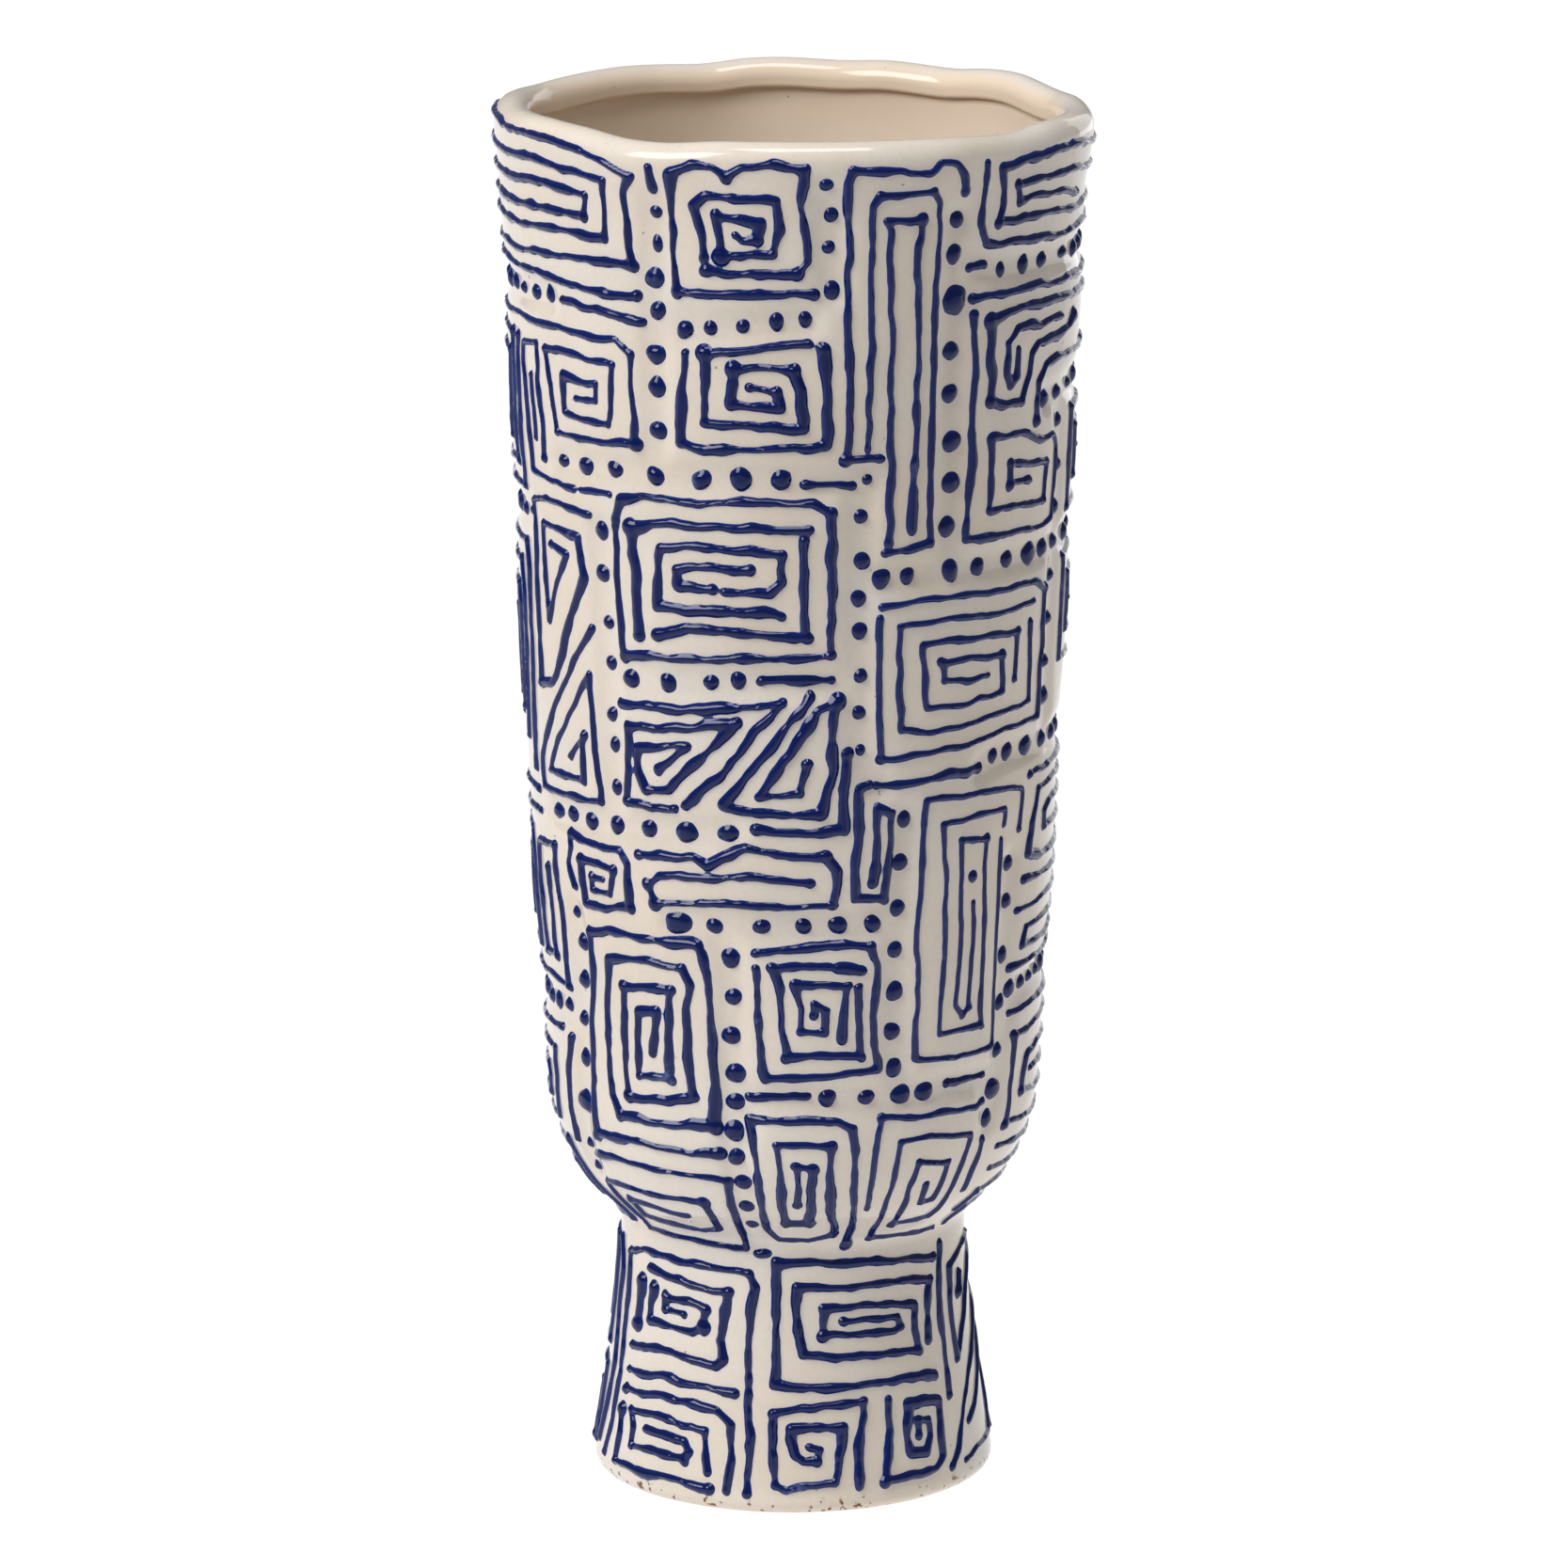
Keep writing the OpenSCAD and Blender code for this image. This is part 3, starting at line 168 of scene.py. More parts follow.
def trailsOf(name):
    # Centre lines as rows of angle, height and half width at both ends with a group number, then
    # the dots, the free ends, and the corners with the way they point. The centre line is the top
    # edge of a ridge, and its half width is the shortest way from that edge to the foot of the
    # ridge, less where the line bends
    points, faces = partMesh(name)
    angle = np.degrees(np.arctan2(points[:, 0], -points[:, 1]))
    z = points[:, 2]
    lift = (np.hypot(points[:, 0], points[:, 1]) - outerRadius(z)) / np.sqrt(1 + outerSlope(z) ** 2)
    edges = np.unique(np.sort(faces[:, [0, 1, 1, 2, 2, 0]].reshape(-1, 2), axis=1), axis=0)
    group = linked(len(points), edges)
    names, counts = np.unique(group, return_counts=True)
    dotGroups = names[counts == reading["dotVertices"]]
    ridge = (lift > reading["ridgeLift"]) & ~np.isin(group, dotGroups)
    along = edges[ridge[edges].all(1)]
    slant = edges[ridge[edges[:, 0]] != ridge[edges[:, 1]]]
    top = np.where(ridge[slant[:, 0]], slant[:, 0], slant[:, 1])
    foot = np.where(ridge[slant[:, 0]], slant[:, 1], slant[:, 0])
    drop = (lift[top] - lift[foot]) ** 2
    flat = np.sqrt(np.maximum(((points[top] - points[foot]) ** 2).sum(1) - drop, 0.01))
    reach = np.full(len(points), 9.0)
    np.minimum.at(reach, top, flat)
    way = points[along[:, 1]] - points[along[:, 0]]
    way /= np.linalg.norm(way, axis=1, keepdims=True)
    spread = np.zeros_like(points)
    np.add.at(spread, along[:, 0], way)
    np.add.at(spread, along[:, 1], -way)
    sharp = (spread ** 2).sum(1)
    degree = np.bincount(along.ravel(), minlength=len(points))
    bend = np.where(degree == 2, np.sqrt(np.clip(1 - sharp / 4, 0.3, 1)), 1)
    half = np.clip(reach * bend, *reading["halfWidths"])
    s, e = along[:, 0], along[:, 1]
    lines = np.stack([angle[s], z[s], half[s], angle[e], z[e], half[e], group[s]], -1)
    last = np.nonzero(ridge & (degree == 1))[0]
    ends = np.stack([angle[last], z[last], half[last], group[last]], -1)
    turned = np.nonzero(ridge & (degree == 2) & (sharp > reading["sharpTurn"]))[0]
    outwards = -spread[turned] / np.linalg.norm(spread[turned], axis=1, keepdims=True)
    a = np.radians(angle[turned])
    side = outwards[:, 0] * np.cos(a) + outwards[:, 1] * np.sin(a)
    knots = np.column_stack([angle[turned], z[turned], half[turned], group[turned], side, outwards[:, 2]])
    return lines, dotsOf(points, lift, group, dotGroups), ends, knots


readTrails = {name: trailsOf(name) for name in slipNodes}
print("trails read:", sum(len(table[0]) for table in readTrails.values()), "stretches of line")


def hashed(i, j, k, seed):
    # A number from 0 to 1 for each corner of a cubic lattice: its whole numbers are multiplied and
    # folded together, and the low bits are kept
    n = (i * 374761393 + j * 668265263 + k * 2147483647 + seed * 974711) & 0xFFFFFFFF
    n = ((n ^ (n >> 13)) * 1274126177) & 0xFFFFFFFF
    return ((n ^ (n >> 16)) & 0xFFFF) / 65535.0


def wander(points, size, seed):
    # Smooth noise from -1 to 1: the numbers at the eight corners of a point's lattice cell, each
    # weighted by t * t * (3 - 2 * t) along every axis. Its lumps are about that size
    p = points / size + 1000
    cell = np.floor(p).astype(np.int64)
    t = p - cell
    t = t * t * (3 - 2 * t)
    total = 0
    for di in (0, 1):
        for dj in (0, 1):
            for dk in (0, 1):
                share = (np.where(di, t[..., 0], 1 - t[..., 0])
                         * np.where(dj, t[..., 1], 1 - t[..., 1])
                         * np.where(dk, t[..., 2], 1 - t[..., 2]))
                total = total + share * hashed(cell[..., 0] + di, cell[..., 1] + dj, cell[..., 2] + dk, seed)
    return 2 * total - 1


def onRound(angle, z):
    # Point of the turned outline at an angle and height
    r, a = outerRadius(z), np.radians(angle)
    return np.stack([r * np.sin(a), -r * np.cos(a), z + 0 * angle], -1)


def smoothStep(x, low, high):
    # t * t * (3 - 2 * t), where t runs from 0 at low to 1 at high
    t = np.clip((x - low) / (high - low), 0, 1)
    return t * t * (3 - 2 * t)


clay = {
    "ridges": [-148, -112, -66, -29, 34, 69, 104, 152],  # degrees at which the wall is bent
    "flatness": 0.35,  # how far the middle of a usual face lies inside the round
    "usualFace": 50,  # degrees
    "facesFrom": (92, 135),  # heights between which the faces grow from nothing
    "lumps": [(45, 0.3, 3), (16, 0.12, 4)],  # size, height and seed
    "insideDepth": (4, 8),  # depths under the outer skin between which the clay takes the warmer inside tone: painted warm bounce light, partly glaze pooled inside
}
# The dots lie in channels that are pressed between the pillows under the keys
pillow = {
    "depth": 1.3,
    "flat": 1.3,  # half width of a channel's floor, and where its side ends
    "wide": 5.6,
    "crown": 0.45,  # how much higher a pillow's middle is than its border
    "crownFrom": 4,
    "crownReach": 22,
    "linkReach": 17,  # greatest distance between neighbours in a row of dots
    "linkSlant": 4.2,
    "foot": (58, 76),  # heights over which the pillows begin and end
    "top": (314, 327),
    "turnStep": 0.5,  # steps of the map, in degrees and millimetres
    "riseStep": 0.5,
    "softening": 4,
}
rim = {
    # angle round the vase and rise of the rim
    "crest": [
        (-88, 1.2), (-79, 0.8), (-62, 1.3), (-47, 1.0), (-36, -0.3), (-26, -0.4), (-16, 0.7), (0, 0.8),
        (18, 0.7), (33, 0.4), (48, -0.8), (54, -0.7), (60, 0.2), (70, 0.1), (85, -0.3), (100, 0),
        (108, -0.5), (115, -0.1), (126, 1.1), (135, 0.9), (144, -0.3), (150, 0), (160, 0.8),
        (169, 0.1), (182, 0.9), (190, 0.8), (199, -0.4), (207, 0.2), (218, 0.7), (232, 0.3),
        (245, -0.1), (255, 0.8), (264, 1.4)],
    # angle and how far the rim stands outwards
    "out": [
        (-90, 0.3), (-60, -0.4), (-35, 0.5), (-5, -0.3), (30, 0.6), (50, -0.4), (88, 0.8), (115, -0.5),
        (130, 0.5), (160, -0.3), (185, 0.4), (205, -0.4), (240, 0.4)],
    "riseFrom": (306, 328),  # heights between which the waves grow from nothing
    "outFrom": (312, 328),
}


def lookedUp(grid, angle, z):
    # Value of the pillow map at a place: the four cells around it, weighted by how near they are
    i = (angle + 180) / pillow["turnStep"] % grid.shape[0]
    j = np.clip(z / pillow["riseStep"], 0, grid.shape[1] - 1.001)
    i0, j0 = np.floor(i).astype(int), np.floor(j).astype(int)
    u, v = i - i0, j - j0
    i0, i1 = i0 % grid.shape[0], (i0 + 1) % grid.shape[0]
    return ((grid[i0, j0] * (1 - u) + grid[i1, j0] * u) * (1 - v)
            + (grid[i0, j0 + 1] * (1 - u) + grid[i1, j0 + 1] * u) * v)


def aroundRim(table, angle):
    # Curve through a table of angles and values that closes after a full turn, straight between
    # the rows and then softened three times with its neighbours
    at, value = np.array(table, float).T
    even = np.arange(0, 360, 2.0)
    curve = np.interp(even, at % 360, value, period=360)
    for _ in range(3):
        curve = (np.roll(curve, 1) + 2 * curve + np.roll(curve, -1)) / 4
    return np.interp(angle % 360, even, curve, period=360)


def unevenness(angle, z, pressed):
    # Distance that the clay lies outside its turned outline: minus a parabola between each two
    # ridges, plus the pillows as far as they are pressed, plus the lumps
    ridges = np.array(clay["ridges"] + [clay["ridges"][0] + 360])
    a = (angle - ridges[0]) % 360 + ridges[0]
    k = np.clip(np.searchsorted(ridges, a, "right") - 1, 0, len(ridges) - 2)
    width = ridges[k + 1] - ridges[k]
    t = (a - ridges[k]) / width
    faces = clay["flatness"] * (width / clay["usualFace"]) * smoothStep(z, *clay["facesFrom"])
    out = -faces * 4 * t * (1 - t) + pressed * lookedUp(pillows, angle, z)
    for size, height, seed in clay["lumps"]:
        out = out + height * wander(onRound(angle, z), size, seed)
    return out


def onClay(angle, z, radius=None, lift=0, pressed=1):
    # Point at an angle and height: the radius plus the unevenness and the rim's shift, moved by the
    # lift along the outline's normal, and raised with the rim
    radius = outerRadius(z) if radius is None else radius
    slope = outerSlope(z)
    tilt = np.sqrt(1 + slope ** 2)
    shift = aroundRim(rim["out"], angle) * smoothStep(z, *rim["outFrom"])
    rise = aroundRim(rim["crest"], angle) * smoothStep(z, *rim["riseFrom"])
    r = radius + unevenness(angle, z, pressed) + shift + lift / tilt
    a = np.radians(angle)
    return np.stack([r * np.sin(a), -r * np.cos(a), z + rise - lift * slope / tilt], -1)


def pillowMap():
    # Height of the pillows on a map of angles and heights. Neighbours in a row or a column of dots
    # are linked, the distance to the nearest link is taken all over the map, and the clay rises
    # from a channel's floor to a pillow by a smooth step of that distance
    spots = [readTrails[name][1][:, :2] for name in slipNodes if name.startswith("dots")]
    spots.append(readTrails["dashes"][2][:, :2])
    a, z = np.concatenate(spots).T
    s = arcLength(z)
    turnsApart = (a[:, None] - a[None, :] + 180) % 360 - 180
    dx = np.radians(turnsApart) * (outerRadius(z)[:, None] + outerRadius(z)[None, :]) / 2
    ds = s[:, None] - s[None, :]
    near = np.hypot(dx, ds) < pillow["linkReach"]
    near &= np.minimum(abs(dx), abs(ds)) < pillow["linkSlant"]
    first, second = np.nonzero(np.triu(near, 1))
    first, second = np.append(first, np.arange(len(a))), np.append(second, np.arange(len(a)))
    turnStep, riseStep = pillow["turnStep"], pillow["riseStep"]
    far = np.full((int(360 / turnStep), int(crest / riseStep) + 2), 60.0)
    mapZ = np.arange(far.shape[1]) * riseStep
    mapS, mapR = arcLength(mapZ), outerRadius(mapZ)
    reach = pillow["crownReach"] + 2
    for i, j in zip(first, second):
        lowZ, highZ = min(z[i], z[j]) - reach, max(z[i], z[j]) + reach
        rows = slice(max(int(lowZ / riseStep), 0), max(int(highZ / riseStep), 0) + 1)
        side = np.degrees(reach / max(mapR[rows].min(), 30)) + abs(turnsApart[i, j])
        columns = np.arange(int((a[i] - side + 180) / turnStep), int((a[i] + side + 180) / turnStep) + 1)
        r = mapR[rows][None, :]
        here = np.radians(columns[:, None] * turnStep - 180 - a[i]) * r
        up = mapS[rows][None, :] - s[i]
        ex, ey = np.radians(-turnsApart[i, j]) * r, s[j] - s[i]
        t = np.clip((here * ex + up * ey) / np.maximum(ex * ex + ey * ey, 0.01), 0, 1)
        gap = np.hypot(here - t * ex, up - t * ey)
        columns = columns % far.shape[0]
        far[columns, rows] = np.minimum(far[columns, rows], gap)
    side = smoothStep(far, pillow["flat"], pillow["wide"]) - 1
    height = side * pillow["depth"]
    height = height + pillow["crown"] * smoothStep(far, pillow["crownFrom"], pillow["crownReach"])
    height = height * (smoothStep(mapZ, *pillow["foot"]) * (1 - smoothStep(mapZ, *pillow["top"])))[None, :]
    for _ in range(pillow["softening"]):
        height = (np.roll(height, 1, 0) + 2 * height + np.roll(height, -1, 0)) / 4
        height[:, 1:-1] = (height[:, :-2] + 2 * height[:, 1:-1] + height[:, 2:]) / 4
    return height


pillows = pillowMap()
print("pillows pressed")


def makePiece(name, node, points, faces, values=None):
    # A mesh piece on the root body that stands for a frame part. Faces is a list of arrays of
    # vertex numbers, and values holds an attribute's name and its value at each vertex
    mesh = bpy.data.meshes.new(name)
    mesh.vertices.add(len(points))
    mesh.vertices.foreach_set("co", (points * perMm).astype(np.float32).ravel())
    corners = np.concatenate([f.ravel() for f in faces]).astype(np.int32)
    sizes = np.concatenate([np.full(len(f), f.shape[1], np.int32) for f in faces])
    mesh.loops.add(len(corners))
    mesh.loops.foreach_set("vertex_index", corners)
    mesh.polygons.add(len(sizes))
    mesh.polygons.foreach_set("loop_start", (np.cumsum(sizes) - sizes).astype(np.int32))
    mesh.polygons.foreach_set("use_smooth", np.ones(len(sizes), bool))
    mesh.update(calc_edges=True)
    for key, value in (values or {}).items():
        layer = mesh.attributes.new(key, "FLOAT", "POINT")
        layer.data.foreach_set("value", value.astype(np.float32))
    mesh.set_sharp_from_angle(angle=radians(55))
    mesh.validate()
    piece = bpy.data.objects.new(name, mesh)
    bpy.context.scene.collection.objects.link(piece)
    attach(piece, "root")
    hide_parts(node)
    return piece


around = 360
turn = np.arange(around) * 360 / around - 180


def ringFaces(rows):
    # Quads between each row of vertices and the next, right round and back to the first row. They
    # face outwards for an outline that runs up the outside and down the inside
    i, j = np.meshgrid(np.arange(rows), np.arange(around), indexing="ij")
    i2, j2 = (i + 1) % rows, (j + 1) % around
    return np.stack([i * around + j, i * around + j2, i2 * around + j2, i2 * around + j], -1).reshape(-1, 4)


def turnedPiece(name, node, outline):
    # Closed shell: the outline's radii and heights carried round every angle and bent with the
    # clay, less so the deeper they lie under the outer skin
    r, z = (np.array(v)[:, None] + 0 * turn[None, :] for v in zip(*outline))
    depth = smoothStep(outerRadius(z) - r, *clay["insideDepth"])
    points = onClay(turn[None, :] + 0 * z, z, r, pressed=1 - depth)
    return makePiece(name, node, points.reshape(-1, 3), [ringFaces(len(outline))],
                     {"inside": depth.ravel()})


def strip(z0, z1, step, table):
    # Radii and heights along a table from one height to another, in even steps
    z = np.linspace(z0, z1, max(int(abs(z1 - z0) / step), 1) + 1)
    return list(zip(np.interp(z, *table), z))


def arc(centre, radius, start, end, count):
    # Radii and heights on a circle: centre plus radius times cosine and sine of even angles
    a = np.radians(np.linspace(start, end, count))
    return list(zip(centre[0] + radius * np.cos(a), centre[1] + radius * np.sin(a)))


foot = {"edge": 3.0, "innerEdge": 1.5, "outsideStep": 0.75, "insideStep": 2.5}
edgeR = outerRadius(foot["edge"]) - foot["edge"]
hollowR = np.interp(2.0, *hollowTable) + foot["innerEdge"]
footPiece = turnedPiece("foot_clay", "foot",
    arc((edgeR, foot["edge"]), foot["edge"], -90, 0, 9)
    + strip(foot["edge"] + 0.7, footTop, foot["outsideStep"], outerTable)
    + strip(footTop, foot["innerEdge"] + 0.5, foot["insideStep"], hollowTable)
    + arc((hollowR, foot["innerEdge"]), foot["innerEdge"], 180, 270, 6))

bowl = {"outsideStep": 0.75, "insideStep": 1.6, "floorGap": 0.02}
bottom = footTop + bowl["floorGap"]
bowlPiece = turnedPiece("bowl_clay", "bowl",
    strip(footTop, shoulder, bowl["outsideStep"], outerTable)
    + strip(shoulder, floorTop - 0.5, bowl["insideStep"], innerTable)
    + [(np.interp(floorTop, *innerTable), bottom)])

wall = {"outsideStep": 1.5, "insideStep": 2.3}
wallPiece = turnedPiece("wall_clay", "wall",
    strip(shoulder, lipFoot, wall["outsideStep"], outerTable)
    + strip(lipFoot, shoulder, wall["insideStep"], innerTable))

lip = {
    "roll": 4.5,  # radius of the rolled edge
    "ledge": 1.5,  # height of the ledge inside over the wall's top
    "fillet": 0.9,
    "outsideStep": 0.5,
}
rollR, rollZ = outerRadius(crest - lip["roll"]) - lip["roll"], crest - lip["roll"]
lipInner = rollR - lip["roll"] + 0.05
insideWall = np.interp(lipFoot, *innerTable)
ledge = lipFoot + lip["ledge"]
lipPiece = turnedPiece("rolled_lip", "lip_band",
    strip(lipFoot, rollZ - 0.4, lip["outsideStep"], outerTable)
    + arc((rollR, rollZ), lip["roll"], 0, 180, 34)
    + [(lipInner, ledge + lip["fillet"])]
    + arc((lipInner + lip["fillet"], ledge + 0.7), lip["fillet"], 180, 262, 6)
    + [(insideWall, ledge + 0.3), (insideWall, ledge - 1.2), (insideWall, lipFoot)])

disc = {"dish": 0.6, "rings": 18, "firstRing": 0.06}


def floorDisc():
    # Closed disc: rings of growing radius under and over, and a fan of triangles at each pole. The
    # upper side sinks towards the middle by the dish times 1 minus the radius share squared
    floorR = np.interp(floorTop, *innerTable)
    spokes = np.linspace(disc["firstRing"], 1, disc["rings"])[:, None]
    r = np.concatenate([floorR * spokes, floorR * spokes[::-1]])
    z = np.concatenate([floorTop - disc["dish"] * (1 - spokes ** 2), bottom + 0 * spokes])
    a = np.radians(turn)[None, :]
    points = np.stack([r * np.sin(a), -r * np.cos(a), z + 0 * a], -1)[::-1].reshape(-1, 3)
    poles = np.array([[0, 0, bottom], [0, 0, floorTop - disc["dish"]]])
    last = (len(r) - 1) * around
    j = np.arange(around)
    j2 = (j + 1) % around
    fans = np.concatenate([np.stack([0 * j + len(points), j2, j], -1),
                           np.stack([0 * j + len(points) + 1, last + j, last + j2], -1)])
    return makePiece("floor_clay", "floor", np.concatenate([points, poles]),
                     [ringFaces(len(r))[:last], fans])


floorPiece = floorDisc()
clayPieces = [footPiece, bowlPiece, wallPiece, lipPiece, floorPiece]
print("clay built:", sum(len(piece.data.polygons) for piece in clayPieces) * 2, "triangles")

slip = {
    "cell": 0.43,  # size of the grid's cells
    "margin": 5.0,
    "lineHeight": 0.95,
    "dotHeight": 1.25,
    "usualHalf": 1.0,  # half width of the usual line, and half size of the usual dot
    "usualDot": 2.0,
    "taller": 0.35,  # power of a line's half width by which it stands higher
    "blobTaller": 0.4,
    "sink": 0.3,  # how far the skirt goes under the clay
    "base": 0.6,  # depth of the underside
    "empty": -0.7,  # height where there is no slip
    "leastHalf": 0.62,
    "edgeWobble": [(9, 0.28, 10), (4, 0.4, 11), (2, 0.22, 12)],  # lump size, share of width, seed
    "drift": [(11, 0.5, 21), (4.5, 0.4, 22), (2.4, 0.12, 23)],  # lump size, distance, seed
    "heightWobble": (8, 0.16, 31),
    "endBlob": (1.08, 1.5),  # a free end's width over the line's, least and greatest
    "knot": (1.0, 1.78),  # the same for a corner
    "knotShift": 0.4,  # how far a corner's knot lies outside it
    "blend": 0.3,  # heights that differ by less than this flow into one another
    "dotDrift": 0.45,  # share of the drift that reaches a dot
    "dotWobble": 0.6,
    "usualShare": 0.87,
    "backShare": 1.02,
    "dotShares": {"dots_middle_columns": 0.9},
    # Panels trailed with a finer or a fuller line
    "trailShare": {
        "key_wide_right": 0.65, "key_tall_right": 0.60, "key_tall_front": 0.78, "key_lip_left": 0.87,
        "key_lip_right": 0.85, "key_neck_right": 0.97, "key_side_right": 0.73, "key_neck_left": 0.72,
        "key_narrow_left": 0.68, "key_lip_front": 0.92, "key_neck_front": 0.93, "key_wide_front": 0.95,
        "key_tall_left": 0.92, "key_square_front": 0.82, "key_bowl_front": 0.86, "key_bowl_right": 0.73,
        "key_bowl_left": 0.82, "key_stack_right": 0.73, "key_far_right": 0.73, "triangle_upper_left": 0.74,
        "triangle_lower_left": 0.74, "slant_front": 0.95, "triangle_front": 0.97, "key_long_front": 0.95,
        "foot_slant_right": 0.73, "foot_key_left": 0.92, "foot_key_front": 0.88, "key_stack_left": 0.79,
    },
    # Height of a trail's section, as a share of the whole, against the distance from its centre line
    "sectionAt": [0, 0.2, 0.4, 0.6, 0.75, 0.87, 0.96, 1.05, 1.16, 1.4, 1.8],
    "sectionHeight": [1, 0.985, 0.94, 0.83, 0.67, 0.46, 0.25, 0.06, -0.06, -0.32, -0.7],
}


def section(u):
    # Share of the height at a distance from the centre line, counted in half widths
    return np.interp(u, slip["sectionAt"], slip["sectionHeight"], right=-9)


def unwrapped(a, about):
    # The same angle within half a turn of another
    return (a - about + 180) % 360 - 180 + about


def picked(between, a, z):
    # A value between two that depends only on the place: the low one plus the difference times the
    # square of a number from 0 to 1
    k = hashed(*(np.array([a * 7 + 9000, z * 9, 3]).astype(np.int64)), 77)
    return between[0] + (between[1] - between[0]) * k * k


def softened(sheet):
    # Each height mixed with its neighbours along both axes, 1 to 2 to 1
    for axis in (0, 1):
        padded = np.moveaxis(np.pad(sheet, 1, mode="edge"), axis, 0)
        inner = (padded[:-2, 1:-1] + 2 * padded[1:-1, 1:-1] + padded[2:, 1:-1]) / 4
        sheet = np.moveaxis(inner, 0, axis)
    return sheet


class Relief:
    # Height of a node's slip over the clay on a grid of angles and heights
    def __init__(self, angles, heights):
        turnStep = np.degrees(slip["cell"] / outerRadius(heights).mean())
        side = np.degrees(slip["margin"] / 40)
        low, high = heights.min() - slip["margin"], heights.max() + slip["margin"]
        self.angles = np.arange(angles.min() - side, angles.max() + side, turnStep)
        self.heights = np.arange(max(low, 0.4), min(high, crest - 0.6), slip["cell"])
        self.a, self.z = np.meshgrid(self.angles, self.heights, indexing="ij")
        spot = onRound(self.a, self.z)
        self.width = 1 + sum(share * wander(spot, size, seed) for size, share, seed in slip["edgeWobble"])
        self.driftA = sum(share * wander(spot, size, seed) for size, share, seed in slip["drift"])
        self.driftS = sum(share * wander(spot, size, seed + 5) for size, share, seed in slip["drift"])
        size, share, seed = slip["heightWobble"]
        self.tall = 1 + share * wander(spot, size, seed)
        self.perDegree = np.radians(outerRadius(self.z))
        self.s = arcLength(self.z)
        self.total = np.full(self.a.shape, slip["empty"])

    def window(self, a0, a1, z0, z1, reach, radius):
        # The grid's rows and columns within reach of a stretch between two places
        side = np.degrees(reach / radius)
        cuts = []
        for axis, low, high in ((self.angles, min(a0, a1) - side, max(a0, a1) + side),
                                (self.heights, min(z0, z1) - reach, max(z0, z1) + reach)):
            start, end = np.searchsorted(axis, low), np.searchsorted(axis, high)
            cuts.append(slice(max(int(start) - 1, 0), int(end) + 1))
        return tuple(cuts)

    def offsets(self, cut, a0, z0, share=(1, 1)):
        # Distances from a place along the ring and along the outline, with a share of the drift
        x = (self.a[cut] - a0) * self.perDegree[cut] + share[0] * self.driftA[cut]
        y = self.s[cut] - arcLength(z0) + share[1] * self.driftS[cut]
        return x, y

    def line(self, own, a0, z0, w0, a1, z1, w1):
        # A stretch of line: the section at the distance from its centre line over its half width
        radius = min(outerRadius(z0), outerRadius(z1))
        cut = self.window(a0, a1, z0, z1, 2.0 * max(w0, w1) + 1, radius)
        x, y = self.offsets(cut, a0, z0)
        dx, dy = (a1 - a0) * self.perDegree[cut], arcLength(z1) - arcLength(z0)
        t = np.clip((x * dx + y * dy) / (dx * dx + dy * dy), 0, 1)
        half = w0 + (w1 - w0) * t
        u = np.hypot(x - t * dx, y - t * dy) / np.maximum(half * self.width[cut], slip["leastHalf"])
        height = slip["lineHeight"] * self.tall[cut] * (half / slip["usualHalf"]) ** slip["taller"]
        own[cut] = np.maximum(own[cut], height * section(u))

    def blob(self, own, a0, z0, dx, dy, half):
        # A round drop of slip at a place, moved sideways and upwards
        cut = self.window(a0, a0, z0, z0, 2.08 * half + 1, outerRadius(z0))
        x, y = self.offsets(cut, a0, z0)
        height = slip["lineHeight"] * 1.06 * self.tall[cut] * (half / slip["usualHalf"]) ** slip["blobTaller"]
        own[cut] = np.maximum(own[cut], height * section(np.hypot(x - dx, y - dy) / half))

    def dot(self, a0, z0, halfA, halfZ):
        # A dot: the section at the distance from its middle on an oval
        cut = self.window(a0, a0, z0, z0, 1.7 * max(halfA, halfZ) + 1, outerRadius(z0))
        x, y = self.offsets(cut, a0, z0, (slip["dotDrift"], slip["dotDrift"]))
        u = np.hypot(x / halfA, y / halfZ) / (1 + slip["dotWobble"] * (self.width[cut] - 1))
        self.merge(slip["dotHeight"] * np.sqrt(min(halfA, halfZ) / slip["usualDot"]) * section(u), cut)

    def merge(self, part, cut):
        # Smooth greatest of what is there and a new part: a mix of both by their difference over
        # the blend, plus half the blend times the mix times 1 minus the mix
        old = self.total[cut]
        greatest = np.maximum(part, old)
        mix = np.clip(0.5 + (part - old) / (2 * slip["blend"]), 0, 1)
        both = old * (1 - mix) + part * mix + slip["blend"] * mix * (1 - mix) * 0.5
        filled = (part > slip["empty"]) & (old > slip["empty"])
        self.total[cut] = np.where(filled, np.maximum(both, greatest), greatest)


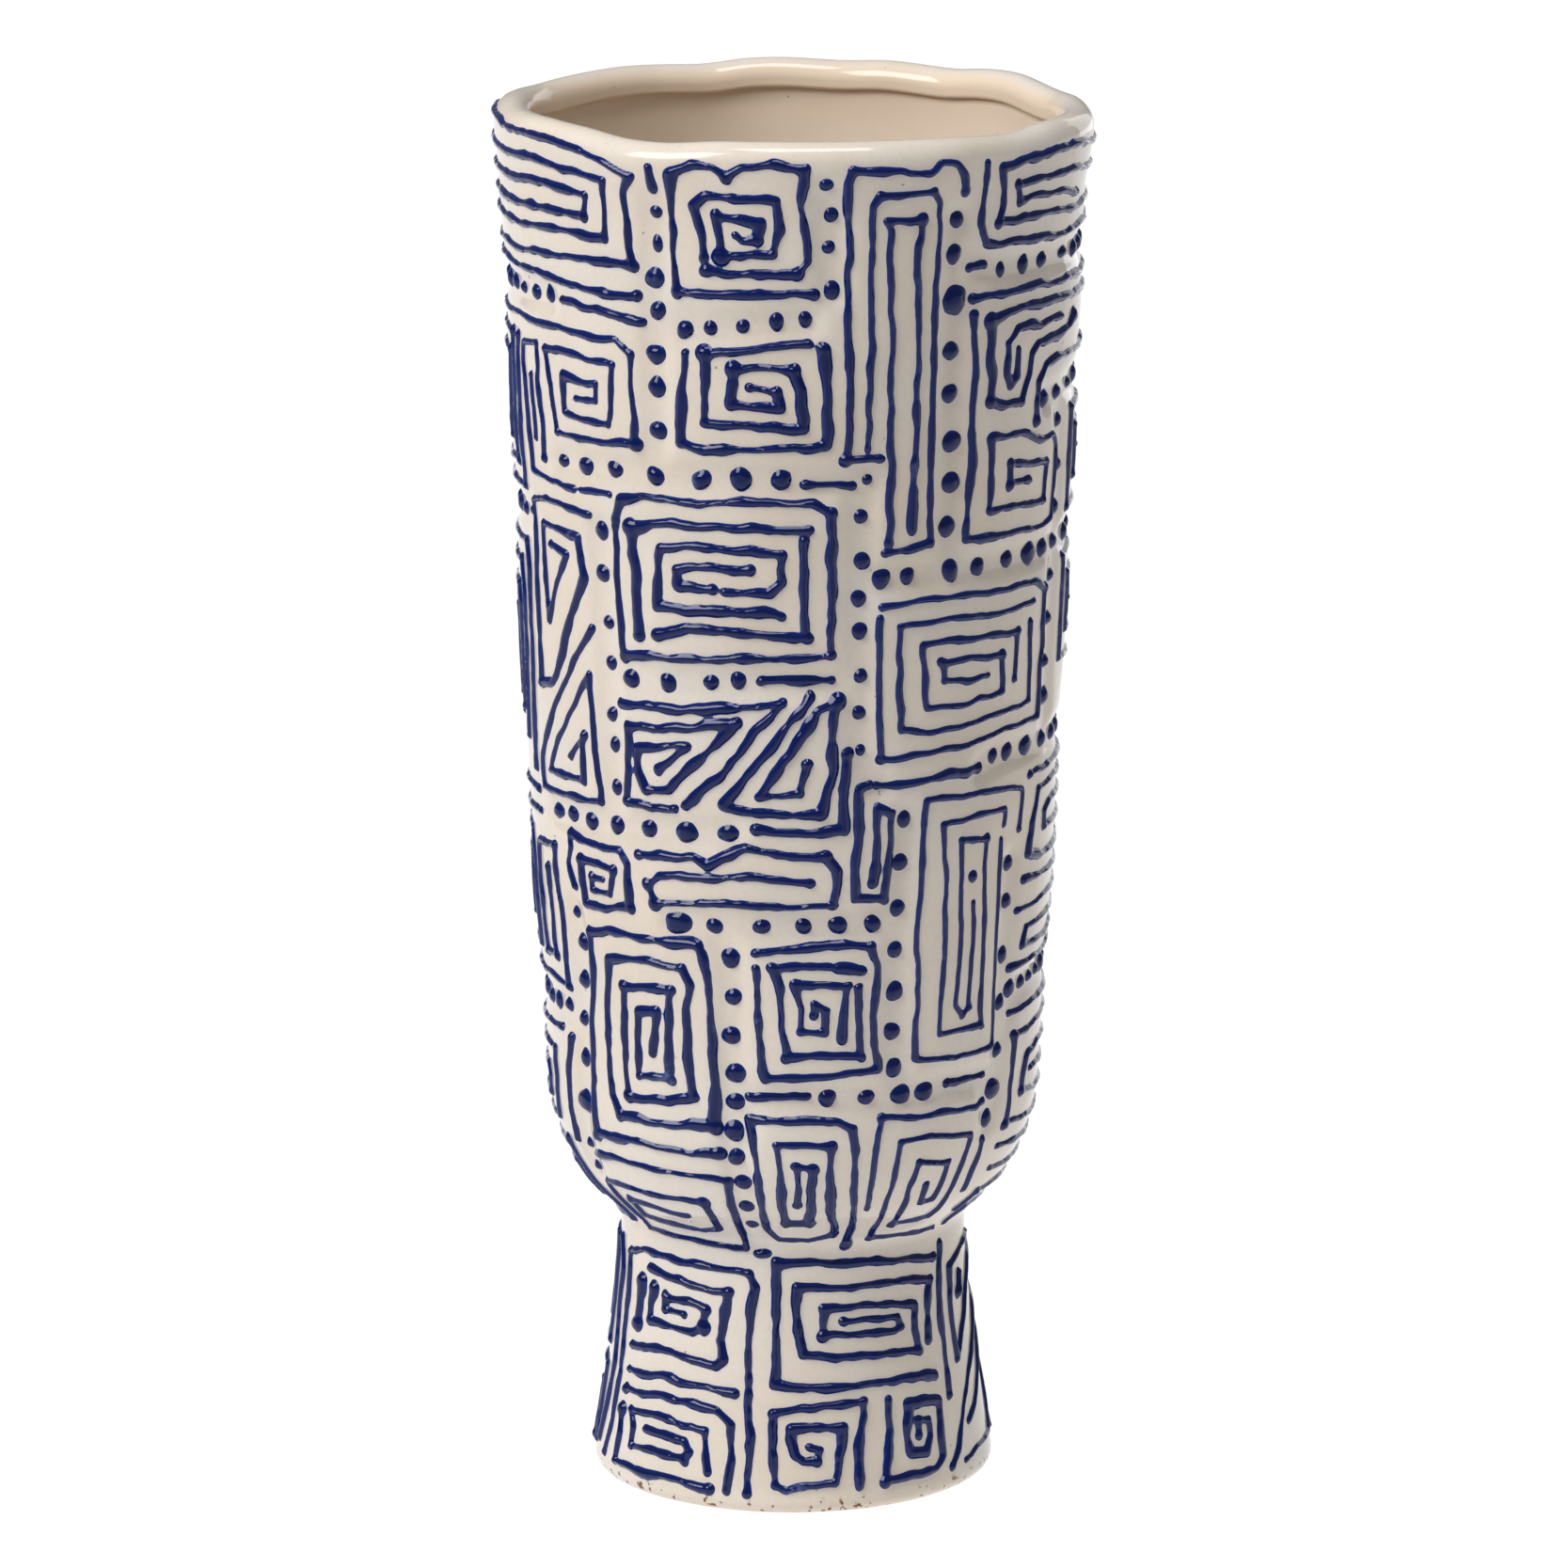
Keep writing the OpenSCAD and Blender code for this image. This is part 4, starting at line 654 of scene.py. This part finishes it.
def reliefOf(name):
    # The slip of one node. The stretches, ends and corners of one line are joined by the greatest,
    # and lines and dots that meet by the smooth greatest
    lines, dots, ends, knots = (table.copy() for table in readTrails[name])
    share = slip["backShare"] if name.endswith("_back") else slip["trailShare"].get(name, slip["usualShare"])
    lines[:, [2, 5]] *= share
    ends[:, 2] *= share
    knots[:, 2] *= share
    dots[:, 2:] *= slip["dotShares"].get(name, 1)
    angles = np.concatenate([lines[:, 0], lines[:, 3], dots[:, 0]])
    heights = np.concatenate([lines[:, 1], lines[:, 4], dots[:, 1]])
    about = np.degrees(np.angle(np.exp(1j * np.radians(angles)).mean()))
    for table, columns in ((lines, [0, 3]), (dots, [0]), (ends, [0]), (knots, [0])):
        table[:, columns] = unwrapped(table[:, columns], about)
    relief = Relief(unwrapped(angles, about), heights)
    for g in np.unique(lines[:, 6]):
        own = np.full(relief.a.shape, slip["empty"])
        for row in lines[lines[:, 6] == g]:
            relief.line(own, *row[:6])
        for a0, z0, w0, _ in ends[ends[:, 3] == g]:
            relief.blob(own, a0, z0, 0, 0, w0 * picked(slip["endBlob"], a0, z0))
        for a0, z0, w0, _, dx, dy in knots[knots[:, 3] == g]:
            much = picked(slip["knot"], a0, z0)
            shift = slip["knotShift"] * max(much - 1, 0)
            relief.blob(own, a0, z0, shift * dx, shift * dy, w0 * much)
        relief.merge(own, (slice(None), slice(None)))
    for row in dots:
        relief.dot(*row)
    return relief.a, relief.z, softened(relief.total)


def slipPiece(name):
    # Closed solid over the cells where the slip stands above its skirt: a top sheet, an underside
    # below the clay, and walls along the border of the cells
    angle, z, relief = reliefOf(name)
    inside = relief > -slip["sink"]
    cells = inside[:-1, :-1] | inside[1:, :-1] | inside[:-1, 1:] | inside[1:, 1:]
    cells[0] = cells[-1] = False
    cells[:, 0] = cells[:, -1] = False
    for _ in range(4):  # cells that touch only at a corner get their neighbours
        a, b, c, d = cells[:-1, :-1], cells[1:, :-1], cells[:-1, 1:], cells[1:, 1:]
        cross = (a & d & ~b & ~c) | (b & c & ~a & ~d)
        if not cross.any():
            break
        for part in (a, b, c, d):
            part |= cross
    i, j = np.nonzero(cells)
    tall = angle.shape[1]
    corner = np.stack([i * tall + j, (i + 1) * tall + j, (i + 1) * tall + j + 1, i * tall + j + 1], -1)
    used, corner = np.unique(corner, return_inverse=True)
    corner = corner.reshape(-1, 4)
    count = len(used)
    angle, z, lift = angle.ravel()[used], z.ravel()[used], relief.ravel()[used]
    top = onClay(angle, z, lift=np.maximum(lift, -slip["sink"]))
    under = onClay(angle, z, lift=-slip["base"] + 0 * lift)
    wide = np.pad(cells, 1)
    faces = [corner, corner[:, ::-1] + count]
    for (di, dj), (p, q) in {(-1, 0): (3, 0), (1, 0): (1, 2), (0, -1): (0, 1), (0, 1): (2, 3)}.items():
        edge = corner[~wide[i + 1 + di, j + 1 + dj]]
        faces.append(np.stack([edge[:, p] + count, edge[:, q] + count, edge[:, q], edge[:, p]], -1))
    thick = np.clip(lift / slip["lineHeight"], -1, 1.5)
    return makePiece("slip_" + name, name, np.concatenate([top, under]), faces,
                     {"thickness": np.concatenate([thick, thick])})


slipPieces = [slipPiece(name) for name in slipNodes]
print("slip built:", sum(len(piece.data.polygons) for piece in slipPieces) * 2, "triangles")


class Wire:
    # A shader socket that can be used in sums; each sum adds a Math node
    def __init__(self, tree, socket):
        self.tree, self.socket = tree, socket

    def math(self, operation, first, second):
        node = self.tree.nodes.new("ShaderNodeMath")
        node.operation = operation
        for place, value in zip(node.inputs, (first, second)):
            if isinstance(value, Wire):
                self.tree.links.new(value.socket, place)
            else:
                place.default_value = value
        return Wire(self.tree, node.outputs[0])

    def __add__(self, other):
        return self.math("ADD", self, other)

    def __sub__(self, other):
        return self.math("SUBTRACT", self, other)

    def __mul__(self, other):
        return self.math("MULTIPLY", self, other)

    def __radd__(self, other):
        return self.math("ADD", other, self)

    def __rsub__(self, other):
        return self.math("SUBTRACT", other, self)

    def __rmul__(self, other):
        return self.math("MULTIPLY", other, self)


class Finish:
    # A material with its Principled shader
    def __init__(self, name):
        self.material = bpy.data.materials.new(name)
        self.material.use_nodes = True
        self.tree = self.material.node_tree
        self.shader = self.tree.nodes["Principled BSDF"]
        self.place = self.node("ShaderNodeTexCoord", {}, {}, "Object")

    def node(self, kind, settings, inputs, output=0):
        # Any node but Math: its type, its settings, and the values or wires of its sockets
        node = self.tree.nodes.new(kind)
        for key, value in settings.items():
            setattr(node, key, value)
        for key, value in inputs.items():
            if isinstance(value, Wire):
                self.tree.links.new(value.socket, node.inputs[key])
            else:
                node.inputs[key].default_value = value
        return Wire(self.tree, node.outputs[output])

    def noise(self, scale, detail):
        return self.node("ShaderNodeTexNoise", {}, {"Vector": self.place, "Scale": scale,
                         "Detail": detail, "Roughness": 0.5}, "Fac")

    def between(self, value, low, high, to0=0.0, to1=1.0):
        # Smooth step of a value from low to high, stretched to run from to0 to to1
        return self.node("ShaderNodeMapRange", {"interpolation_type": "SMOOTHSTEP"},
                         {"Value": value, "From Min": low, "From Max": high, "To Min": to0, "To Max": to1})

    def mix(self, factor, first, second):
        # Colour mix; 0, 6 and 7 are the factor and the two colour sockets
        return self.node("ShaderNodeMix", {"data_type": "RGBA"}, {0: factor, 6: first, 7: second}, 2)

    def attribute(self, name):
        return self.node("ShaderNodeAttribute", {"attribute_name": name}, {}, "Fac")

    def along(self, axis):
        return self.node("ShaderNodeSeparateXYZ", {}, {"Vector": self.place}, axis)

    def bump(self, height, distance, strength):
        return self.node("ShaderNodeBump", {}, {"Height": height, "Distance": distance, "Strength": strength})

    def set(self, **sockets):
        # Puts values or wires on the shader's sockets, with _ for each space in a socket's name
        for key, value in sockets.items():
            socket = self.shader.inputs[key.replace("_", " ")]
            if isinstance(value, Wire):
                self.tree.links.new(value.socket, socket)
            else:
                socket.default_value = value
        return self.material


def colour(red, green, blue):
    # Linear colour from the usual 0 to 255 values: ((v + 0.055) / 1.055) to the power 2.4, and
    # v / 12.92 for the darkest
    parts = np.array([red, green, blue]) / 255
    return tuple(np.where(parts > 0.04045, ((parts + 0.055) / 1.055) ** 2.4, parts / 12.92)) + (1,)


def grey(value):
    return (value, value, value, 1)


glaze = {
    "cream": colour(225, 215, 203),
    "warm": colour(219, 206, 189),
    "cool": colour(219, 213, 205),
    # The inside colour is painted warm bounce light inside the vase, partly glaze pooled there
    "inside": colour(229, 210, 188),
    "grain": colour(196, 182, 166),
    "rust": colour(118, 72, 34),
    "bare": colour(205, 178, 142),
    "speck": colour(110, 92, 78),
    "rustFrom": (0.0048, 0.0026),  # metres over the table between which rusty spots appear
    "bareFrom": (0.0014, 0.0008),  # the same for the bare clay of the ring
    "roughness": (0.05, 0.12),
    "specular": 0.4,
}


def creamGlaze():
    # Cream with slow drifts of tone, a warmer inside that is painted bounce light and partly pooled glaze, a
    # few dark specks, and bare clay with rusty spots at the ring
    f = Finish("cream glaze")
    height = f.along("Z")
    tone = f.mix(f.between(f.noise(14, 3), 0.35, 0.65), glaze["cream"], glaze["warm"])
    tone = f.mix(f.between(f.noise(30, 2), 0.5, 0.75, 0, 0.6), tone, glaze["cool"])
    tone = f.mix(f.between(f.noise(700, 1), 0.3, 0.7, 0, 0.12), tone, glaze["grain"])
    # Painted warm bounce light on the inside walls, partly glaze pooled there, grows in with the inside
    # attribute
    tone = f.mix(f.attribute("inside"), tone, glaze["inside"])
    specks = f.between(f.noise(420, 1), 0.785, 0.82, 0, 0.6)
    tone = f.mix(specks, tone, glaze["speck"])
    rusty = f.between(f.noise(480, 2), 0.6, 0.66) * f.between(height, *glaze["rustFrom"])
    tone = f.mix(rusty, tone, glaze["rust"])
    bare = f.between(height + f.noise(160, 2) * 0.0012, *glaze["bareFrom"])
    tone = f.mix(bare, tone, glaze["bare"])
    rough = f.between(f.noise(60, 3), 0.3, 0.7, *glaze["roughness"]) + bare * 0.5
    return f.set(Base_Color=tone, Roughness=rough, Normal=f.bump(f.noise(110, 1), 0.0002, 0.35),
                 Specular_IOR_Level=glaze["specular"])


cobalt = {
    "thick": colour(0, 19, 78),
    "middle": colour(2, 28, 96),
    "thin": colour(44, 66, 126),
    "milky": colour(96, 110, 160),
    "roughness": (0.06, 0.13),
    "specular": 0.34,
}


def cobaltGlaze():
    # Deep blue where the slip is thick, paler at its thin edges and in a few milky streaks
    f = Finish("cobalt slip")
    uneven = f.attribute("thickness") + (f.noise(420, 2) - 0.5) * 0.25
    tone = f.mix(f.between(uneven, -0.05, 0.3), cobalt["thin"], cobalt["middle"])
    tone = f.mix(f.between(uneven, 0.4, 0.95), tone, cobalt["thick"])
    milky = f.between(f.noise(70, 3), 0.64, 0.76, 0, 0.5) * f.between(f.noise(500, 2), 0.4, 0.6)
    tone = f.mix(milky, tone, cobalt["milky"])
    rough = f.between(f.noise(240, 2), 0.3, 0.7, *cobalt["roughness"])
    return f.set(Base_Color=tone, Roughness=rough, Normal=f.bump(f.noise(300, 1), 0.0001, 0.25),
                 Specular_IOR_Level=cobalt["specular"])


def bareClay():
    # Unglazed clay: two tones drifting into one another, dull and slightly grainy
    f = Finish("bare clay")
    tone = f.mix(f.noise(90, 4), glaze["bare"], glaze["warm"])
    return f.set(Base_Color=tone, Roughness=f.between(f.noise(200, 2), 0.3, 0.7, 0.35, 0.55),
                 Normal=f.bump(f.noise(500, 3), 0.0002, 0.6))


cream, blue, bare = creamGlaze(), cobaltGlaze(), bareClay()
for piece in clayPieces:
    piece.data.materials.append(bare if piece is floorPiece else cream)
for piece in slipPieces:
    piece.data.materials.append(blue)
print("finishes made")

studio = {
    "floorReach": 9,
    "floorTone": 0.12,
    "glow": 0.96,  # light that the floor gives itself
    "glowInFront": 0.5,  # share of the glow in front of the vase, where it would veil the blue
    "fade": (-0.75, -0.12),  # metres along Y between which the glow grows to the whole
    "aim": (0, 0, 0.17),
    "lights": {
        "key_light": {"place": (-1.56, -1.13, 1.9), "size": (1.45, 1.3), "power": 52},
        "rim_light": {"place": (1.05, 1.95, 0.5), "size": (0.9, 1.5), "power": 4},
        "top_light": {"place": (0.1, -0.35, 2.2), "size": (0.9, 0.7), "power": 15},
    },
    "world": 0.2,
}
camera = {"place": (-0.0022, -2.1788, 0.6661), "down": 12.9, "lens": 215.5}


def shown(name, data):
    # A new object of the scene
    thing = bpy.data.objects.new(name, data)
    bpy.context.scene.collection.objects.link(thing)
    return thing


def makeFloor():
    # A flat square, palest behind the vase
    mesh = bpy.data.meshes.new("studio_floor")
    reach = studio["floorReach"]
    mesh.from_pydata([(-reach, -reach, 0), (reach, -reach, 0), (reach, reach, 0), (-reach, reach, 0)],
                     [], [(0, 1, 2, 3)])
    floor = shown("studio_floor", mesh)
    f = Finish("studio floor")
    shade = f.mix(f.between(f.along("Y"), *studio["fade"]), grey(studio["glowInFront"]), grey(1))
    mesh.materials.append(f.set(Base_Color=grey(studio["floorTone"]), Roughness=0.9, Specular_IOR_Level=0.1,
                                Emission_Color=shade, Emission_Strength=studio["glow"]))


def softBox(name, place, size, power):
    # A rectangular light that faces the middle of the vase
    light = bpy.data.lights.new(name, "AREA")
    light.shape, light.size, light.size_y = "RECTANGLE", *size
    light.energy = power
    box = shown(name, light)
    box.location = place
    box.rotation_euler = (Vector(studio["aim"]) - Vector(place)).to_track_quat("-Z", "Y").to_euler()


makeFloor()
for name, light in studio["lights"].items():
    softBox(name, **light)

world = bpy.data.worlds.new("studio")
bpy.context.scene.world = world
world.use_nodes = True
world.node_tree.nodes["Background"].inputs["Color"].default_value = grey(1)
world.node_tree.nodes["Background"].inputs["Strength"].default_value = studio["world"]
print("lights set")

lens = bpy.data.cameras.new("camera")
lens.lens, lens.sensor_width = camera["lens"], 36
lens.clip_start, lens.clip_end = 0.05, 50
eye = shown("camera", lens)
eye.location = camera["place"]
eye.rotation_euler = (radians(90 - camera["down"]), 0, 0)
bpy.context.scene.camera = eye
bpy.context.scene.view_settings.view_transform = "Standard"

print("scene ready")
